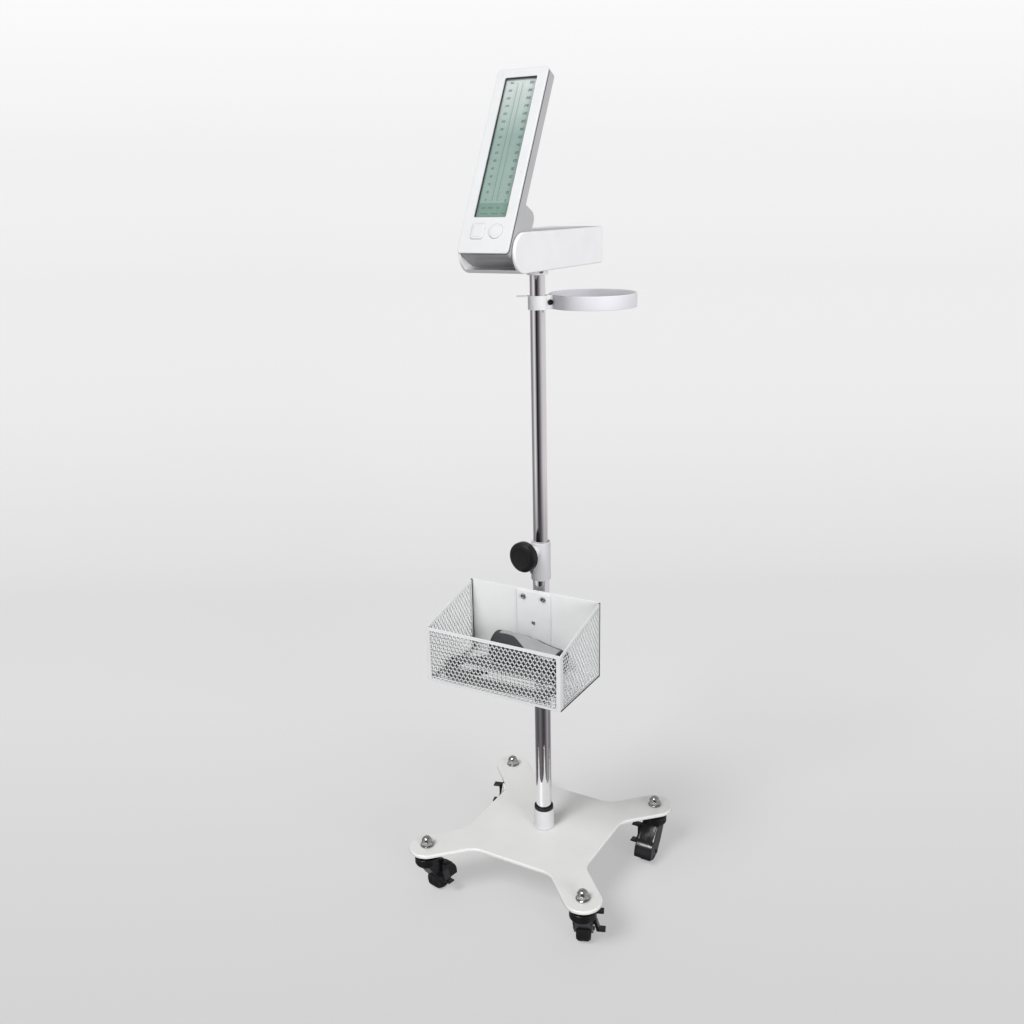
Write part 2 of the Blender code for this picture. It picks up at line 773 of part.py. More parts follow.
def headed_pin(name, radius, shank, head_radius, head, steps=SMALL_STEPS):
    """A screw or bolt about local Z: the head's underside is at the origin and the shank runs down."""
    profile = [
        (0.0, head),
        (head_radius * BOLT_CROWN_SHARE, head),
        (head_radius, head * BOLT_CROWN_SHARE),
        (head_radius, 0.0),
        (radius, 0.0),
        (radius, -shank),
        (0.0, -shank),
    ]
    return turned(name, profile, steps)


def collar_bolt():
    """Small bolt that fixes the collar on the tube, just short of the tube's wall."""
    shank = COLLAR_RADIUS - LOWER_TUBE_RADIUS
    bolt = headed_pin(
        "collar_bolt", COLLAR_BOLT_RADIUS, shank, COLLAR_BOLT_HEAD_RADIUS, COLLAR_BOLT_HEAD
    )
    spot = polar(COLLAR_RADIUS + GAP, COLLAR_BOLT_ANGLE, COLLAR_BOTTOM + COLLAR_BOLT_RISE)
    place(bolt, spot, facing(COLLAR_BOLT_ANGLE))
    dress(bolt, STEEL)


def clamp_knob():
    """Round knob with its neck and stud. Local Z runs out from the mast along the stud."""
    pivot = marker("clamp_knob_axis", (0.0, 0.0, CLAMP_HEIGHT), facing(CLAMP_ANGLE))
    tip = UPPER_TUBE_RADIUS + RUNNING
    face = KNOB_START + KNOB_THICK
    profile = [
        (0.0, face),
        (KNOB_RADIUS * KNOB_FACE_SHARE - KNOB_ROUNDING / 2, face),
        (KNOB_RADIUS * KNOB_FACE_SHARE, face - KNOB_ROUNDING / 8),
        (KNOB_RADIUS - KNOB_ROUNDING / 6, face - KNOB_ROUNDING / 2),
        (KNOB_RADIUS, face - KNOB_ROUNDING),
        (KNOB_RADIUS, KNOB_START + KNOB_ROUNDING / 2),
        (KNOB_RADIUS - KNOB_ROUNDING / 2, KNOB_START),
        (KNOB_NECK_RADIUS, KNOB_START),
        (KNOB_NECK_RADIUS, CLAMP_BOSS_REACH + GAP),
        (STUD_RADIUS, CLAMP_BOSS_REACH + GAP),
        (STUD_RADIUS, tip),
        (0.0, tip),
    ]
    knob = turned("clamp_knob", profile)
    place(knob, (0.0, 0.0, 0.0), UP, pivot)
    dress(knob, BLACK_PLASTIC)


# Mast


def tube_foot():
    """Plastic guide: its flange slides in the lower tube and its plug sits in the upper tube."""
    flange = LOWER_TUBE_RADIUS - TUBE_WALL - FOOT_CLEARANCE
    plug = UPPER_TUBE_RADIUS - TUBE_WALL - GAP
    shelf = UPPER_TUBE_BOTTOM - GAP
    profile = [
        (0.0, shelf + FOOT_PLUG_HEIGHT),
        (plug, shelf + FOOT_PLUG_HEIGHT),
        (plug, shelf),
        (flange, shelf),
        (flange, shelf - FOOT_FLANGE_HEIGHT),
        (0.0, shelf - FOOT_FLANGE_HEIGHT),
    ]
    dress(turned("tube_foot", profile), BLACK_PLASTIC)


def upper_tube():
    """Upper mast tube, from inside the lower tube up into the cradle's boss."""
    section = ring_section(
        UPPER_TUBE_RADIUS - TUBE_WALL, UPPER_TUBE_RADIUS, UPPER_TUBE_BOTTOM, CRADLE_BORE_TOP - GAP
    )
    dress(turned("upper_tube", section, closed=True), CHROME)


def hoop_collar():
    """Split collar on the upper tube, with its clamp ears and a flat hose hook."""
    bore = UPPER_TUBE_RADIUS + GAP
    middle = HOOP_TOP - HOOP_HEIGHT / 2
    collar = rod("hoop_collar", HOOP_COLLAR_RADIUS, HOOP_HEIGHT, ROUND_STEPS)
    place(collar, (0.0, 0.0, middle))
    ear_end = HOOP_REACH - HOOP_RADIUS
    ear_length = ear_end + HOOP_WALL - bore
    ears = box("hoop_collar_ears", (ear_length, HOOP_CLAMP_WIDTH, HOOP_HEIGHT))
    place(ears, polar(bore + ear_length / 2, HOOP_DIRECTION, middle), (0.0, 0.0, HOOP_DIRECTION))
    tall = HOOP_HEIGHT + 2 * OVERRUN
    seat = rod("hoop_collar_seat", HOOP_RADIUS + GAP, tall, HOOP_STEPS)
    place(seat, polar(HOOP_REACH, HOOP_DIRECTION, middle), (0.0, 0.0, HOOP_DIRECTION))
    inside = rod("hoop_collar_bore", bore, tall, ROUND_STEPS)
    place(inside, (0.0, 0.0, middle))
    slit = box("hoop_collar_slit", (ear_length + OVERRUN, HOOP_SLIT, tall))
    place(
        slit,
        polar(bore - OVERRUN / 2 + ear_length / 2, HOOP_DIRECTION, middle),
        (0.0, 0.0, HOOP_DIRECTION),
    )
    bolt_hole = rod(
        "hoop_collar_bolt_hole", HOOP_SCREW_RADIUS + GAP, HOOP_CLAMP_WIDTH + OVERRUN, TINY_STEPS
    )
    place(
        bolt_hole,
        polar(HOOP_SCREW_REACH, HOOP_DIRECTION, middle),
        (math.pi / 2, 0.0, HOOP_DIRECTION),
    )
    hook_length = HOOK_REACH - bore
    half = HOOK_WIDTH / 2
    hook_outline = [
        (bore, -half),
        (bore + hook_length, -half * HOOK_TIP_SHARE),
        (bore + hook_length, half * HOOK_TIP_SHARE),
        (bore, half),
    ]
    hook = extruded("hoop_collar_hook", turn_points(hook_outline, HOOK_DIRECTION), HOOK_THICK)
    place(hook, (0.0, 0.0, HOOP_TOP - HOOK_STEP - HOOK_THICK / 2))
    join(collar, ears, hook)
    cut(collar, inside, seat, slit, bolt_hole)
    dress(collar, WHITE_COAT)


def hoop_ring():
    """Flat band bent to a circle beside the mast."""
    section = ring_section(HOOP_RADIUS - HOOP_WALL, HOOP_RADIUS, -HOOP_HEIGHT, 0.0)
    ring = turned("hoop_ring", section, HOOP_STEPS, closed=True)
    place(ring, polar(HOOP_REACH, HOOP_DIRECTION, HOOP_TOP), (0.0, 0.0, HOOP_DIRECTION))
    dress(ring, WHITE_COAT)


def hoop_screw():
    """Screw that draws the collar's ears together, its head towards the front right."""
    shank = HOOP_CLAMP_WIDTH + HOOP_SCREW_TIP
    screw = headed_pin(
        "hoop_screw", HOOP_SCREW_RADIUS, shank, HOOP_SCREW_HEAD_RADIUS, HOOP_SCREW_HEAD
    )
    along = Vector(polar(HOOP_SCREW_REACH, HOOP_DIRECTION, HOOP_TOP - HOOP_HEIGHT / 2))
    outward = Vector(polar(HOOP_CLAMP_WIDTH / 2 + GAP, HOOP_DIRECTION - math.pi / 2))
    place(screw, along + outward, (math.pi / 2, 0.0, HOOP_DIRECTION))
    dress(screw, BLACK_PLASTIC)


# Cradle


def cradle_outline():
    """The cradle's side view in Y and Z about its bottom: round front ears, a square back."""
    radius = CRADLE_HEIGHT / 2
    front = arc((PIVOT_Y, radius), radius, 90, 270, ARCH_STEPS)
    return front + [(CRADLE_BACK, 0.0), (CRADLE_BACK, CRADLE_HEIGHT)]


def cradle_body():
    """Moulded cradle: two ears round the head's foot, a hollow box behind, and the mast's boss."""
    body = extruded("cradle_body", cradle_outline(), 2 * CRADLE_HALF_WIDTH)
    place(body, (0.0, 0.0, CRADLE_BOTTOM), SIDE)
    bevel(body, CRADLE_ROUNDING, 2)
    inner = CRADLE_HALF_WIDTH - CRADLE_EAR
    recess_back = PIVOT_Y + RECESS_REACH
    recess_front = CRADLE_FRONT - OVERRUN
    recess_bottom = CRADLE_BOTTOM + CRADLE_FLOOR
    recess_height = CRADLE_HEIGHT + OVERRUN
    recess = box("cradle_recess", (2 * inner, recess_back - recess_front, recess_height))
    place(recess, (0.0, (recess_back + recess_front) / 2, recess_bottom + recess_height / 2))
    hollow_front = recess_back + CRADLE_BULKHEAD
    hollow_back = CRADLE_BACK - CRADLE_WALL
    hollow_drop = CRADLE_HOLLOW_CORNER + OVERRUN
    hollow_height = CRADLE_HEIGHT - CRADLE_WALL + hollow_drop
    hollow_half = CRADLE_HALF_WIDTH - CRADLE_WALL
    hollow = box("cradle_hollow", (2 * hollow_half, hollow_back - hollow_front, hollow_height))
    place(
        hollow,
        (0.0, (hollow_front + hollow_back) / 2, CRADLE_BOTTOM - hollow_drop + hollow_height / 2),
    )
    bevel(hollow, CRADLE_HOLLOW_CORNER)
    boss_bottom = CRADLE_BOTTOM - CRADLE_BOSS_DROP
    boss_top = CRADLE_BOTTOM + CRADLE_HEIGHT - CRADLE_WALL / 2
    boss = rod("cradle_boss", CRADLE_BOSS_RADIUS, boss_top - boss_bottom, ROUND_STEPS)
    place(boss, (0.0, 0.0, (boss_bottom + boss_top) / 2))
    bore_length = CRADLE_BORE_TOP - boss_bottom + OVERRUN
    bore = rod("cradle_bore", UPPER_TUBE_RADIUS + GAP, bore_length, ROUND_STEPS)
    place(bore, (0.0, 0.0, CRADLE_BORE_TOP - bore_length / 2))
    seat = rod("cradle_pin_seat", PIVOT_RADIUS + GAP, 2 * (inner + PIN_SEAT))
    place(seat, (0.0, PIVOT_Y, PIVOT_Z), ACROSS)
    screw_hole = rod("cradle_screw_hole", CRADLE_SCREW_RADIUS + GAP, CRADLE_BOSS_RADIUS, TINY_STEPS)
    spot = polar(CRADLE_BOSS_RADIUS, CRADLE_SCREW_ANGLE, CRADLE_BOTTOM - CRADLE_BOSS_DROP / 2)
    place(screw_hole, spot, facing(CRADLE_SCREW_ANGLE))
    cut(body, recess, hollow)
    join(body, boss)
    cut(body, bore, seat, screw_hole)
    dress(body, WHITE_PLASTIC)


def cradle_cover():
    """Plate that closes the cradle's hollow from below, round the boss."""
    front = PIVOT_Y + RECESS_REACH + CRADLE_BULKHEAD + GAP
    back = CRADLE_BACK - CRADLE_WALL - GAP
    half = CRADLE_HALF_WIDTH - CRADLE_WALL - GAP
    corner = CRADLE_HOLLOW_CORNER
    middle = (front + back) / 2
    outline = rounded_rectangle(2 * half, back - front, corner, (0.0, middle), 1)
    hole = circle(MAST_AXIS, CRADLE_BOSS_RADIUS + RUNNING, ROUND_STEPS)
    cover = extruded("cradle_cover", outline, CRADLE_COVER_THICK, [hole])
    place(cover, (0.0, 0.0, CRADLE_BOTTOM + CRADLE_COVER_THICK / 2))
    dress(cover, WHITE_PLASTIC)


def cradle_screw():
    """Set screw that holds the cradle on the upper tube."""
    shank = CRADLE_BOSS_RADIUS - UPPER_TUBE_RADIUS - GAP
    screw = headed_pin(
        "cradle_screw",
        CRADLE_SCREW_RADIUS,
        shank,
        CRADLE_SCREW_HEAD_RADIUS,
        CRADLE_SCREW_HEAD,
        TINY_STEPS,
    )
    spot = polar(
        CRADLE_BOSS_RADIUS + GAP, CRADLE_SCREW_ANGLE, CRADLE_BOTTOM - CRADLE_BOSS_DROP / 2
    )
    place(screw, spot, facing(CRADLE_SCREW_ANGLE))
    dress(screw, STEEL)


def tilt_pin():
    """Hinge pin from ear to ear through the head's foot."""
    length = 2 * (CRADLE_HALF_WIDTH - CRADLE_EAR + PIN_SEAT - GAP)
    pin = rod("tilt_pin", PIVOT_RADIUS, length)
    place(pin, (0.0, PIVOT_Y, PIVOT_Z), ACROSS)
    dress(pin, STEEL)


# Head


def in_head(x, depth, height):
    """A place in the head's frame, as a location under the tilt marker."""
    return (x, depth - PIVOT_DEPTH, height - PIVOT_HEIGHT)


def front_plate(name, outline, near, far, parent, holes=()):
    """A solid whose outline is in the head's front plane, from one depth to another."""
    plate = extruded(name, outline, far - near, holes)
    return place(plate, in_head(0.0, (near + far) / 2, 0.0), FRONT, parent)


def power_outline(margin=0.0):
    """The square button's outline, larger by a margin."""
    return rounded_rectangle(
        POWER_WIDTH + 2 * margin,
        POWER_LENGTH + 2 * margin,
        POWER_CORNER + margin,
        (POWER_X, BUTTON_HEIGHT),
    )


def start_outline(margin=0.0):
    """The round button's outline, larger by a margin."""
    return circle((START_X, BUTTON_HEIGHT), START_RADIUS + margin, ROUND_STEPS)


def window_outline(margin=0.0):
    """The display opening's outline, larger by a margin."""
    width = WINDOW_WIDTH + 2 * margin
    height = WINDOW_TOP - WINDOW_BOTTOM + 2 * margin
    middle = (0.0, (WINDOW_TOP + WINDOW_BOTTOM) / 2)
    return rounded_rectangle(width, height, WINDOW_CORNER, middle, 1)


def front_case(parent):
    """Front half of the casing: a rounded frame with the display opening and two button holes."""
    middle = (0.0, HEAD_HEIGHT / 2)
    outline = rounded_rectangle(HEAD_WIDTH, HEAD_HEIGHT, HEAD_RADIUS, middle, 4)
    case = front_plate("front_case", outline, 0.0, FRONT_DEPTH, parent)
    bevel(case, FRONT_ROUNDING, 2)
    wall = 2 * FRONT_WALL
    inside = rounded_rectangle(
        HEAD_WIDTH - wall, HEAD_HEIGHT - wall, HEAD_RADIUS - FRONT_WALL, middle, 2
    )
    hollow = front_plate("front_hollow", inside, FRONT_WALL, FRONT_DEPTH + OVERRUN, parent)
    window = front_plate("window_hole", window_outline(), -OVERRUN, FRONT_WALL + OVERRUN, parent)
    power = front_plate("power_hole", power_outline(GAP), -OVERRUN, FRONT_WALL + OVERRUN, parent)
    start = front_plate("start_hole", start_outline(GAP), -OVERRUN, FRONT_WALL + OVERRUN, parent)
    cut(case, hollow, window, power, start)
    dress(case, WHITE_PLASTIC)


def bulge_outline(inset):
    """Side view of the rear bulge in depth and height, with a round shoulder, drawn in by an inset."""
    start = REAR_DEPTH - REAR_WALL - inset
    back = BULGE_DEPTH - inset
    low = BULGE_BOTTOM + inset
    high = BULGE_HEIGHT - inset
    shoulder = BULGE_SHOULDER - inset
    corner = BULGE_BOTTOM_RADIUS - inset
    points = [(start, low)]
    points += arc((back - corner, low + corner), corner, -90, 0, 2)
    points += arc((back - shoulder, high - shoulder), shoulder, 0, 90, 5)
    points.append((start, high))
    return points


def side_solid(name, outline, half_width, parent):
    """A solid whose outline is in the head's side view, across its width."""
    solid = extruded(name, outline, 2 * half_width)
    return place(solid, in_head(0.0, 0.0, 0.0), SIDE, parent)


def rear_case(parent):
    """Rear half of the casing: a thin slab with a deep bulge at its foot, hollow, with the hinge bosses."""
    near = FRONT_DEPTH + GAP
    middle = (0.0, HEAD_HEIGHT / 2)
    width = HEAD_WIDTH - 2 * REAR_INSET
    height = HEAD_HEIGHT - 2 * REAR_INSET
    corner = HEAD_RADIUS - REAR_INSET
    outline = rounded_rectangle(width, height, corner, middle, 4)
    case = front_plate("rear_case", outline, near, REAR_DEPTH, parent)
    bulge = side_solid("rear_bulge", bulge_outline(0.0), BULGE_HALF_WIDTH, parent)
    wall = 2 * REAR_WALL
    inside = rounded_rectangle(width - wall, height - wall, corner - REAR_WALL, middle, 2)
    hollow = front_plate("rear_hollow", inside, near - OVERRUN, REAR_DEPTH - REAR_WALL, parent)
    hollow_half = BULGE_HALF_WIDTH - REAR_WALL
    deep = side_solid("bulge_hollow", bulge_outline(REAR_WALL), hollow_half, parent)
    hatch = front_plate(
        "hatch_hole", hatch_outline(GAP), BULGE_DEPTH - REAR_WALL - OVERRUN, BULGE_DEPTH + OVERRUN, parent
    )
    bosses = []
    for side in (-1, 1):
        boss = rod(f"pivot_boss_{side}", PIVOT_BOSS_RADIUS, PIVOT_BOSS_LENGTH, SMALL_STEPS)
        reach = BULGE_HALF_WIDTH - REAR_WALL / 2 - PIVOT_BOSS_LENGTH / 2
        bosses.append(place(boss, in_head(side * reach, PIVOT_DEPTH, PIVOT_HEIGHT), ACROSS, parent))
    bore = rod("pivot_bore", PIVOT_RADIUS + RUNNING, HEAD_WIDTH + OVERRUN)
    place(bore, in_head(0.0, PIVOT_DEPTH, PIVOT_HEIGHT), ACROSS, parent)
    port = rod("port_hole", PORT_RADIUS + GAP, 2 * (REAR_WALL + OVERRUN))
    port_x = -(HEAD_WIDTH / 2 - REAR_INSET)
    place(port, in_head(port_x, PORT_DEPTH, PORT_HEIGHT), ACROSS, parent)
    join(case, bulge)
    cut(case, hollow, deep, hatch, port)
    join(case, *bosses)
    cut(case, bore)
    dress(case, GREY_PLASTIC)


def hatch_outline(margin=0.0):
    """The battery hatch's outline, larger by a margin."""
    centre = (0.0, HATCH_TOP - HATCH_LENGTH / 2)
    return rounded_rectangle(
        HATCH_WIDTH + 2 * margin, HATCH_LENGTH + 2 * margin, HATCH_CORNER + margin, centre, 2
    )


def battery_cover(parent):
    """Cover of the battery hatch, flush in the bulge's back wall, with two finger ribs."""
    inner = BULGE_DEPTH - REAR_WALL
    cover = front_plate("battery_cover", hatch_outline(), inner, BULGE_DEPTH, parent)
    for index in (1, 2):
        height = HATCH_TOP - HATCH_RIB_PITCH_SHARE * index * HATCH_RIB
        rib_size = (HATCH_WIDTH * HATCH_RIB_WIDTH_SHARE, REAR_WALL, HATCH_RIB)
        rib = box(f"battery_cover_rib_{index}", rib_size)
        place(rib, in_head(0.0, BULGE_DEPTH, height), UP, parent)
        join(cover, rib)
    dress(cover, GREY_PLASTIC)


def display_window(parent):
    """Clear window behind the opening's edge."""
    near = FRONT_WALL + GAP
    window = front_plate(
        "display_window", window_outline(WINDOW_LAP), near, near + WINDOW_THICK, parent
    )
    dress(window, CLEAR)


def display_panel(parent):
    """Liquid-crystal panel behind the window."""
    near = FRONT_WALL + WINDOW_THICK + 2 * GAP
    panel = front_plate(
        "display_panel", window_outline(WINDOW_LAP / 2), near, near + PANEL_THICK, parent
    )
    dress(panel, DISPLAY_GREEN)


def button(name, cap_outline, flange_outline, parent):
    """A button: its cap stands a little proud, and its flange behind the wall holds it in."""
    cap = front_plate(name, cap_outline, -BUTTON_PROUD, BUTTON_DEPTH, parent)
    start = FRONT_WALL + GAP
    flange = front_plate(
        f"{name}_flange", flange_outline, start, start + BUTTON_FLANGE_THICK, parent
    )
    join(cap, flange)
    dress(cap, WHITE_PLASTIC)


def main_board(parent):
    """Circuit board behind the display."""
    bottom = WINDOW_BOTTOM + BOARD_RISE
    top = HEAD_HEIGHT - BOARD_MARGIN
    outline = [
        (-BOARD_HALF_WIDTH, bottom),
        (BOARD_HALF_WIDTH, bottom),
        (BOARD_HALF_WIDTH, top),
        (-BOARD_HALF_WIDTH, top),
    ]
    near = FRONT_WALL + WINDOW_THICK + PANEL_THICK + 3 * GAP
    board = front_plate("main_board", outline, near, near + BOARD_THICK, parent)
    dress(board, BOARD_GREEN)


def air_pump(parent):
    """Small pump with its outlet, lying across the bulge on the battery compartment."""
    half = PUMP_LENGTH / 2
    depth = BATTERY_DEPTH - CELL_RADIUS - GAP - PUMP_RADIUS
    profile = [
        (0.0, half + PUMP_NOSE),
        (PUMP_NOSE_RADIUS, half + PUMP_NOSE),
        (PUMP_NOSE_RADIUS, half),
        (PUMP_RADIUS, half),
        (PUMP_RADIUS, -half),
        (0.0, -half),
    ]
    pump = turned("air_pump", profile, SMALL_STEPS)
    place(pump, in_head(0.0, depth, PUMP_HEIGHT), ACROSS, parent)
    dress(pump, STEEL)


def battery_pack(parent):
    """Four cells side by side, one scalloped pack."""
    pitch = 2 * CELL_RADIUS - CELL_LAP
    cells = []
    for index in range(CELL_COUNT):
        x = (index - (CELL_COUNT - 1) / 2) * pitch
        name = "battery_pack" if index == 0 else f"battery_cell_{index}"
        cell = rod(name, CELL_RADIUS, CELL_LENGTH, SMALL_STEPS)
        spot = in_head(x, BATTERY_DEPTH, BATTERY_TOP - CELL_LENGTH / 2)
        cells.append(place(cell, spot, UP, parent))
    join(*cells)
    dress(cells[0], BLACK_PLASTIC)


def air_socket(parent):
    """Socket for the cuff's hose in the left side of the rear case."""
    section = ring_section(PORT_BORE, PORT_RADIUS, -PORT_INSIDE, PORT_PROUD)
    socket = turned("air_socket", section, SMALL_STEPS, closed=True)
    x = -(HEAD_WIDTH / 2 - REAR_INSET)
    place(
        socket,
        in_head(x, PORT_DEPTH, PORT_HEIGHT),
        (0.0, -math.pi / 2, 0.0),
        parent,
    )
    dress(socket, BLACK_PLASTIC)


def head():
    """The head's pieces, under a marker on the tilt pin that holds the lean."""
    tilt = marker("head_tilt_axis", (0.0, PIVOT_Y, PIVOT_Z), (-HEAD_TILT, 0.0, 0.0))
    front_case(tilt)
    rear_case(tilt)
    display_window(tilt)
    display_panel(tilt)
    button("button_power", power_outline(), power_outline(BUTTON_FLANGE), tilt)
    button("button_start", start_outline(), start_outline(BUTTON_FLANGE), tilt)
    main_board(tilt)
    air_pump(tilt)
    battery_pack(tilt)
    battery_cover(tilt)
    air_socket(tilt)


# Basket


def lattice(builder, width, height, cells):
    """A sheet of diamonds: square cells are split from their middles, then their own edges go."""
    columns, rows = cells
    bmesh.ops.create_grid(builder, x_segments=columns, y_segments=rows, size=0.5)
    low_x = min(v.co.x for v in builder.verts)
    span = max(v.co.x for v in builder.verts) - low_x
    for vertex in builder.verts:
        vertex.co.x = (vertex.co.x - low_x) / span * width
        vertex.co.y = (vertex.co.y - low_x) / span * height
    old_edges = [edge for edge in builder.edges if not edge.is_boundary]
    bmesh.ops.poke(builder, faces=builder.faces[:])
    bmesh.ops.dissolve_edges(builder, edges=old_edges, use_verts=False)


def outset_rim(builder, slope, band):
    """Extrudes the sheet's edge outwards by the band, as a plain rim. slope is (rise at x 0, rise per x)."""
    boundary = [edge for edge in builder.edges if edge.is_boundary]
    low_x = min(v.co.x for v in builder.verts)
    high_x = max(v.co.x for v in builder.verts)
    made = bmesh.ops.extrude_edge_only(builder, edges=boundary)
    rim = [item for item in made["geom"] if isinstance(item, bmesh.types.BMVert)]
    faces = [item for item in made["geom"] if isinstance(item, bmesh.types.BMFace)]
    rise, per_x = slope
    for vertex in rim:
        x, y = vertex.co.x, vertex.co.y
        if abs(y) < WELD:
            vertex.co.y -= band
        if abs(y - rise - per_x * x) < WELD:
            vertex.co.y += band
        if abs(x - low_x) < WELD:
            vertex.co.x -= band
            vertex.co.y -= per_x * band * (vertex.co.y > rise)
        if abs(x - high_x) < WELD:
            vertex.co.x += band
            vertex.co.y += per_x * band * (vertex.co.y > rise)
    return faces


def net_panel(name, width, height_left, height_right, cells):
    """A sheet of diamond openings with a thicker plain rim, its lower left corner at the origin.

    Its top runs straight from height_left to height_right. Local X is its width and local Y its height.
    """
    inner_width = width - 2 * RIM_BAND
    per_x = (height_right - height_left) / width
    rise = height_left + per_x * RIM_BAND - 2 * RIM_BAND
    tallest = max(rise, rise + per_x * inner_width)
    builder = bmesh.new()
    lattice(builder, inner_width, tallest, cells)
    if per_x:
        bmesh.ops.bisect_plane(
            builder,
            geom=builder.verts[:] + builder.edges[:] + builder.faces[:],
            dist=WELD / 10,
            plane_co=(0.0, rise, 0.0),
            plane_no=(-per_x, 1.0, 0.0),
            clear_outer=True,
        )
        bmesh.ops.remove_doubles(builder, verts=builder.verts, dist=SLIVER)
    cell_area = inner_width * tallest / (cells[0] * cells[1])
    openings = [f for f in builder.faces if f.calc_area() > SMALLEST_GAP_SHARE * cell_area]
    rim_faces = outset_rim(builder, (rise, per_x), RIM_BAND)
    bmesh.ops.inset_individual(builder, faces=openings, thickness=STRAND / 2, use_even_offset=True)
    bmesh.ops.delete(builder, geom=openings, context="FACES")
    bmesh.ops.translate(builder, verts=builder.verts, vec=(RIM_BAND, RIM_BAND, 0.0))
    rim_faces = [face for face in rim_faces if face.is_valid]
    builder.verts.index_update()
    rim_vertices = sorted({vertex.index for face in rim_faces for vertex in face.verts})
    bmesh.ops.recalc_face_normals(builder, faces=builder.faces[:])
    mesh = bpy.data.meshes.new(name)
    builder.to_mesh(mesh)
    builder.free()
    panel = link(bpy.data.objects.new(name, mesh))
    panel.vertex_groups.new(name="rim").add(rim_vertices, 1.0, "REPLACE")
    sheet = panel.modifiers.new("Sheet", "SOLIDIFY")
    sheet.thickness = RIM_THICK
    sheet.offset = 0.0
    sheet.vertex_group = "rim"
    sheet.thickness_vertex_group = NET_SHARE
    dress(panel, WHITE_COAT)
    return panel


def basket():
    """Five panels round the cuff's space, front lower than back, and the sides between."""
    width = 2 * BASKET_HALF_WIDTH
    half_rim = RIM_THICK / 2
    front = net_panel("basket_front", width, BASKET_FRONT_HEIGHT, BASKET_FRONT_HEIGHT, FRONT_CELLS)
    place(front, (-BASKET_HALF_WIDTH, BASKET_FRONT + half_rim, BASKET_BOTTOM), FRONT)
    near = BASKET_FRONT + RIM_THICK + GAP
    far = BASKET_BACK - BASKET_BACK_THICK - GAP
    for name, side in (("basket_left", -1), ("basket_right", 1)):
        panel = net_panel(name, far - near, BASKET_FRONT_HEIGHT, BASKET_BACK_HEIGHT, SIDE_CELLS)
        x = side * (BASKET_HALF_WIDTH - half_rim)
        place(panel, (x, near, BASKET_BOTTOM), SIDE)
    edge = RIM_THICK + GAP
    floor_width = width - 2 * edge
    floor = net_panel("basket_floor", floor_width, far - near, far - near, FLOOR_CELLS)
    place(floor, (-floor_width / 2, near, BASKET_BOTTOM + GAP + half_rim))
    basket_back(width)


def basket_back(width):
    """Plain back panel, drilled for the bracket's bolts and screw."""
    half = width / 2
    corner = RIM_BAND / 2
    middle = (0.0, BASKET_BACK_HEIGHT / 2)
    outline = rounded_rectangle(2 * half, BASKET_BACK_HEIGHT, corner, middle)
    holes = [
        circle((x, BOLT_HEIGHT - BASKET_BOTTOM), BOLT_RADIUS + GAP, TINY_STEPS)
        for x in (-BOLT_SPACING / 2, BOLT_SPACING / 2)
    ]
    holes.append(circle((0.0, SCREW_HEIGHT - BASKET_BOTTOM), SCREW_RADIUS + GAP, TINY_STEPS))
    back = extruded("basket_back", outline, BASKET_BACK_THICK, holes)
    place(back, (0.0, BASKET_BACK - BASKET_BACK_THICK / 2, BASKET_BOTTOM), FRONT)
    dress(back, WHITE_COAT)


def bracket_plate():
    """Stiffening plate inside the basket, in front of its back panel."""
    middle = (0.0, BRACKET_TOP - BRACKET_LENGTH / 2)
    outline = rounded_rectangle(2 * BRACKET_HALF_WIDTH, BRACKET_LENGTH, BRACKET_CORNER, middle, 2)
    holes = [
        circle((x, BOLT_HEIGHT), BOLT_RADIUS + GAP, TINY_STEPS)
        for x in (-BOLT_SPACING / 2, BOLT_SPACING / 2)
    ]
    holes.append(circle((0.0, SCREW_HEIGHT), SCREW_RADIUS + GAP, TINY_STEPS))
    plate = extruded("bracket_plate", outline, BRACKET_THICK, holes)
    y = BASKET_BACK - BASKET_BACK_THICK - GAP - BRACKET_THICK / 2
    place(plate, (0.0, y, 0.0), FRONT)
    dress(plate, WHITE_COAT)


def pole_saddle():
    """Saddle round the lower tube, with the pad that the basket's back bolts to."""
    height = SADDLE_TOP - SADDLE_BOTTOM
    middle = SADDLE_BOTTOM + height / 2
    bore = LOWER_TUBE_RADIUS + GAP
    saddle = rod("pole_saddle", SADDLE_RADIUS, height, ROUND_STEPS)
    place(saddle, (0.0, 0.0, middle))
    front = BASKET_BACK + GAP
    pad_bottom = SADDLE_BOTTOM - GAP
    pad_height = SADDLE_PAD_TOP - pad_bottom
    pad = box("pole_saddle_pad", (2 * SADDLE_PAD_HALF_WIDTH, SADDLE_PAD_THICK, pad_height))
    place(pad, (0.0, front + SADDLE_PAD_THICK / 2, pad_bottom + pad_height / 2))
    web_width = 2 * SADDLE_RADIUS * SADDLE_WEB_SHARE
    web = box("pole_saddle_web", (web_width, -front, height + 2 * GAP))
    place(web, (0.0, front / 2, middle))
    inside = rod("pole_saddle_bore", bore, height + 2 * OVERRUN, ROUND_STEPS)
    place(inside, (0.0, 0.0, middle))
    join(saddle, pad, web)
    cut(saddle, inside)
    for side in (-1, 1):
        depth = 2 * (SADDLE_PAD_THICK + OVERRUN)
        hole = rod(f"pole_saddle_hole_{side}", BOLT_RADIUS + GAP, depth, TINY_STEPS)
        place(hole, (side * BOLT_SPACING / 2, front + SADDLE_PAD_THICK / 2, BOLT_HEIGHT), FRONT)
        cut(saddle, hole)
    dress(saddle, WHITE_COAT)


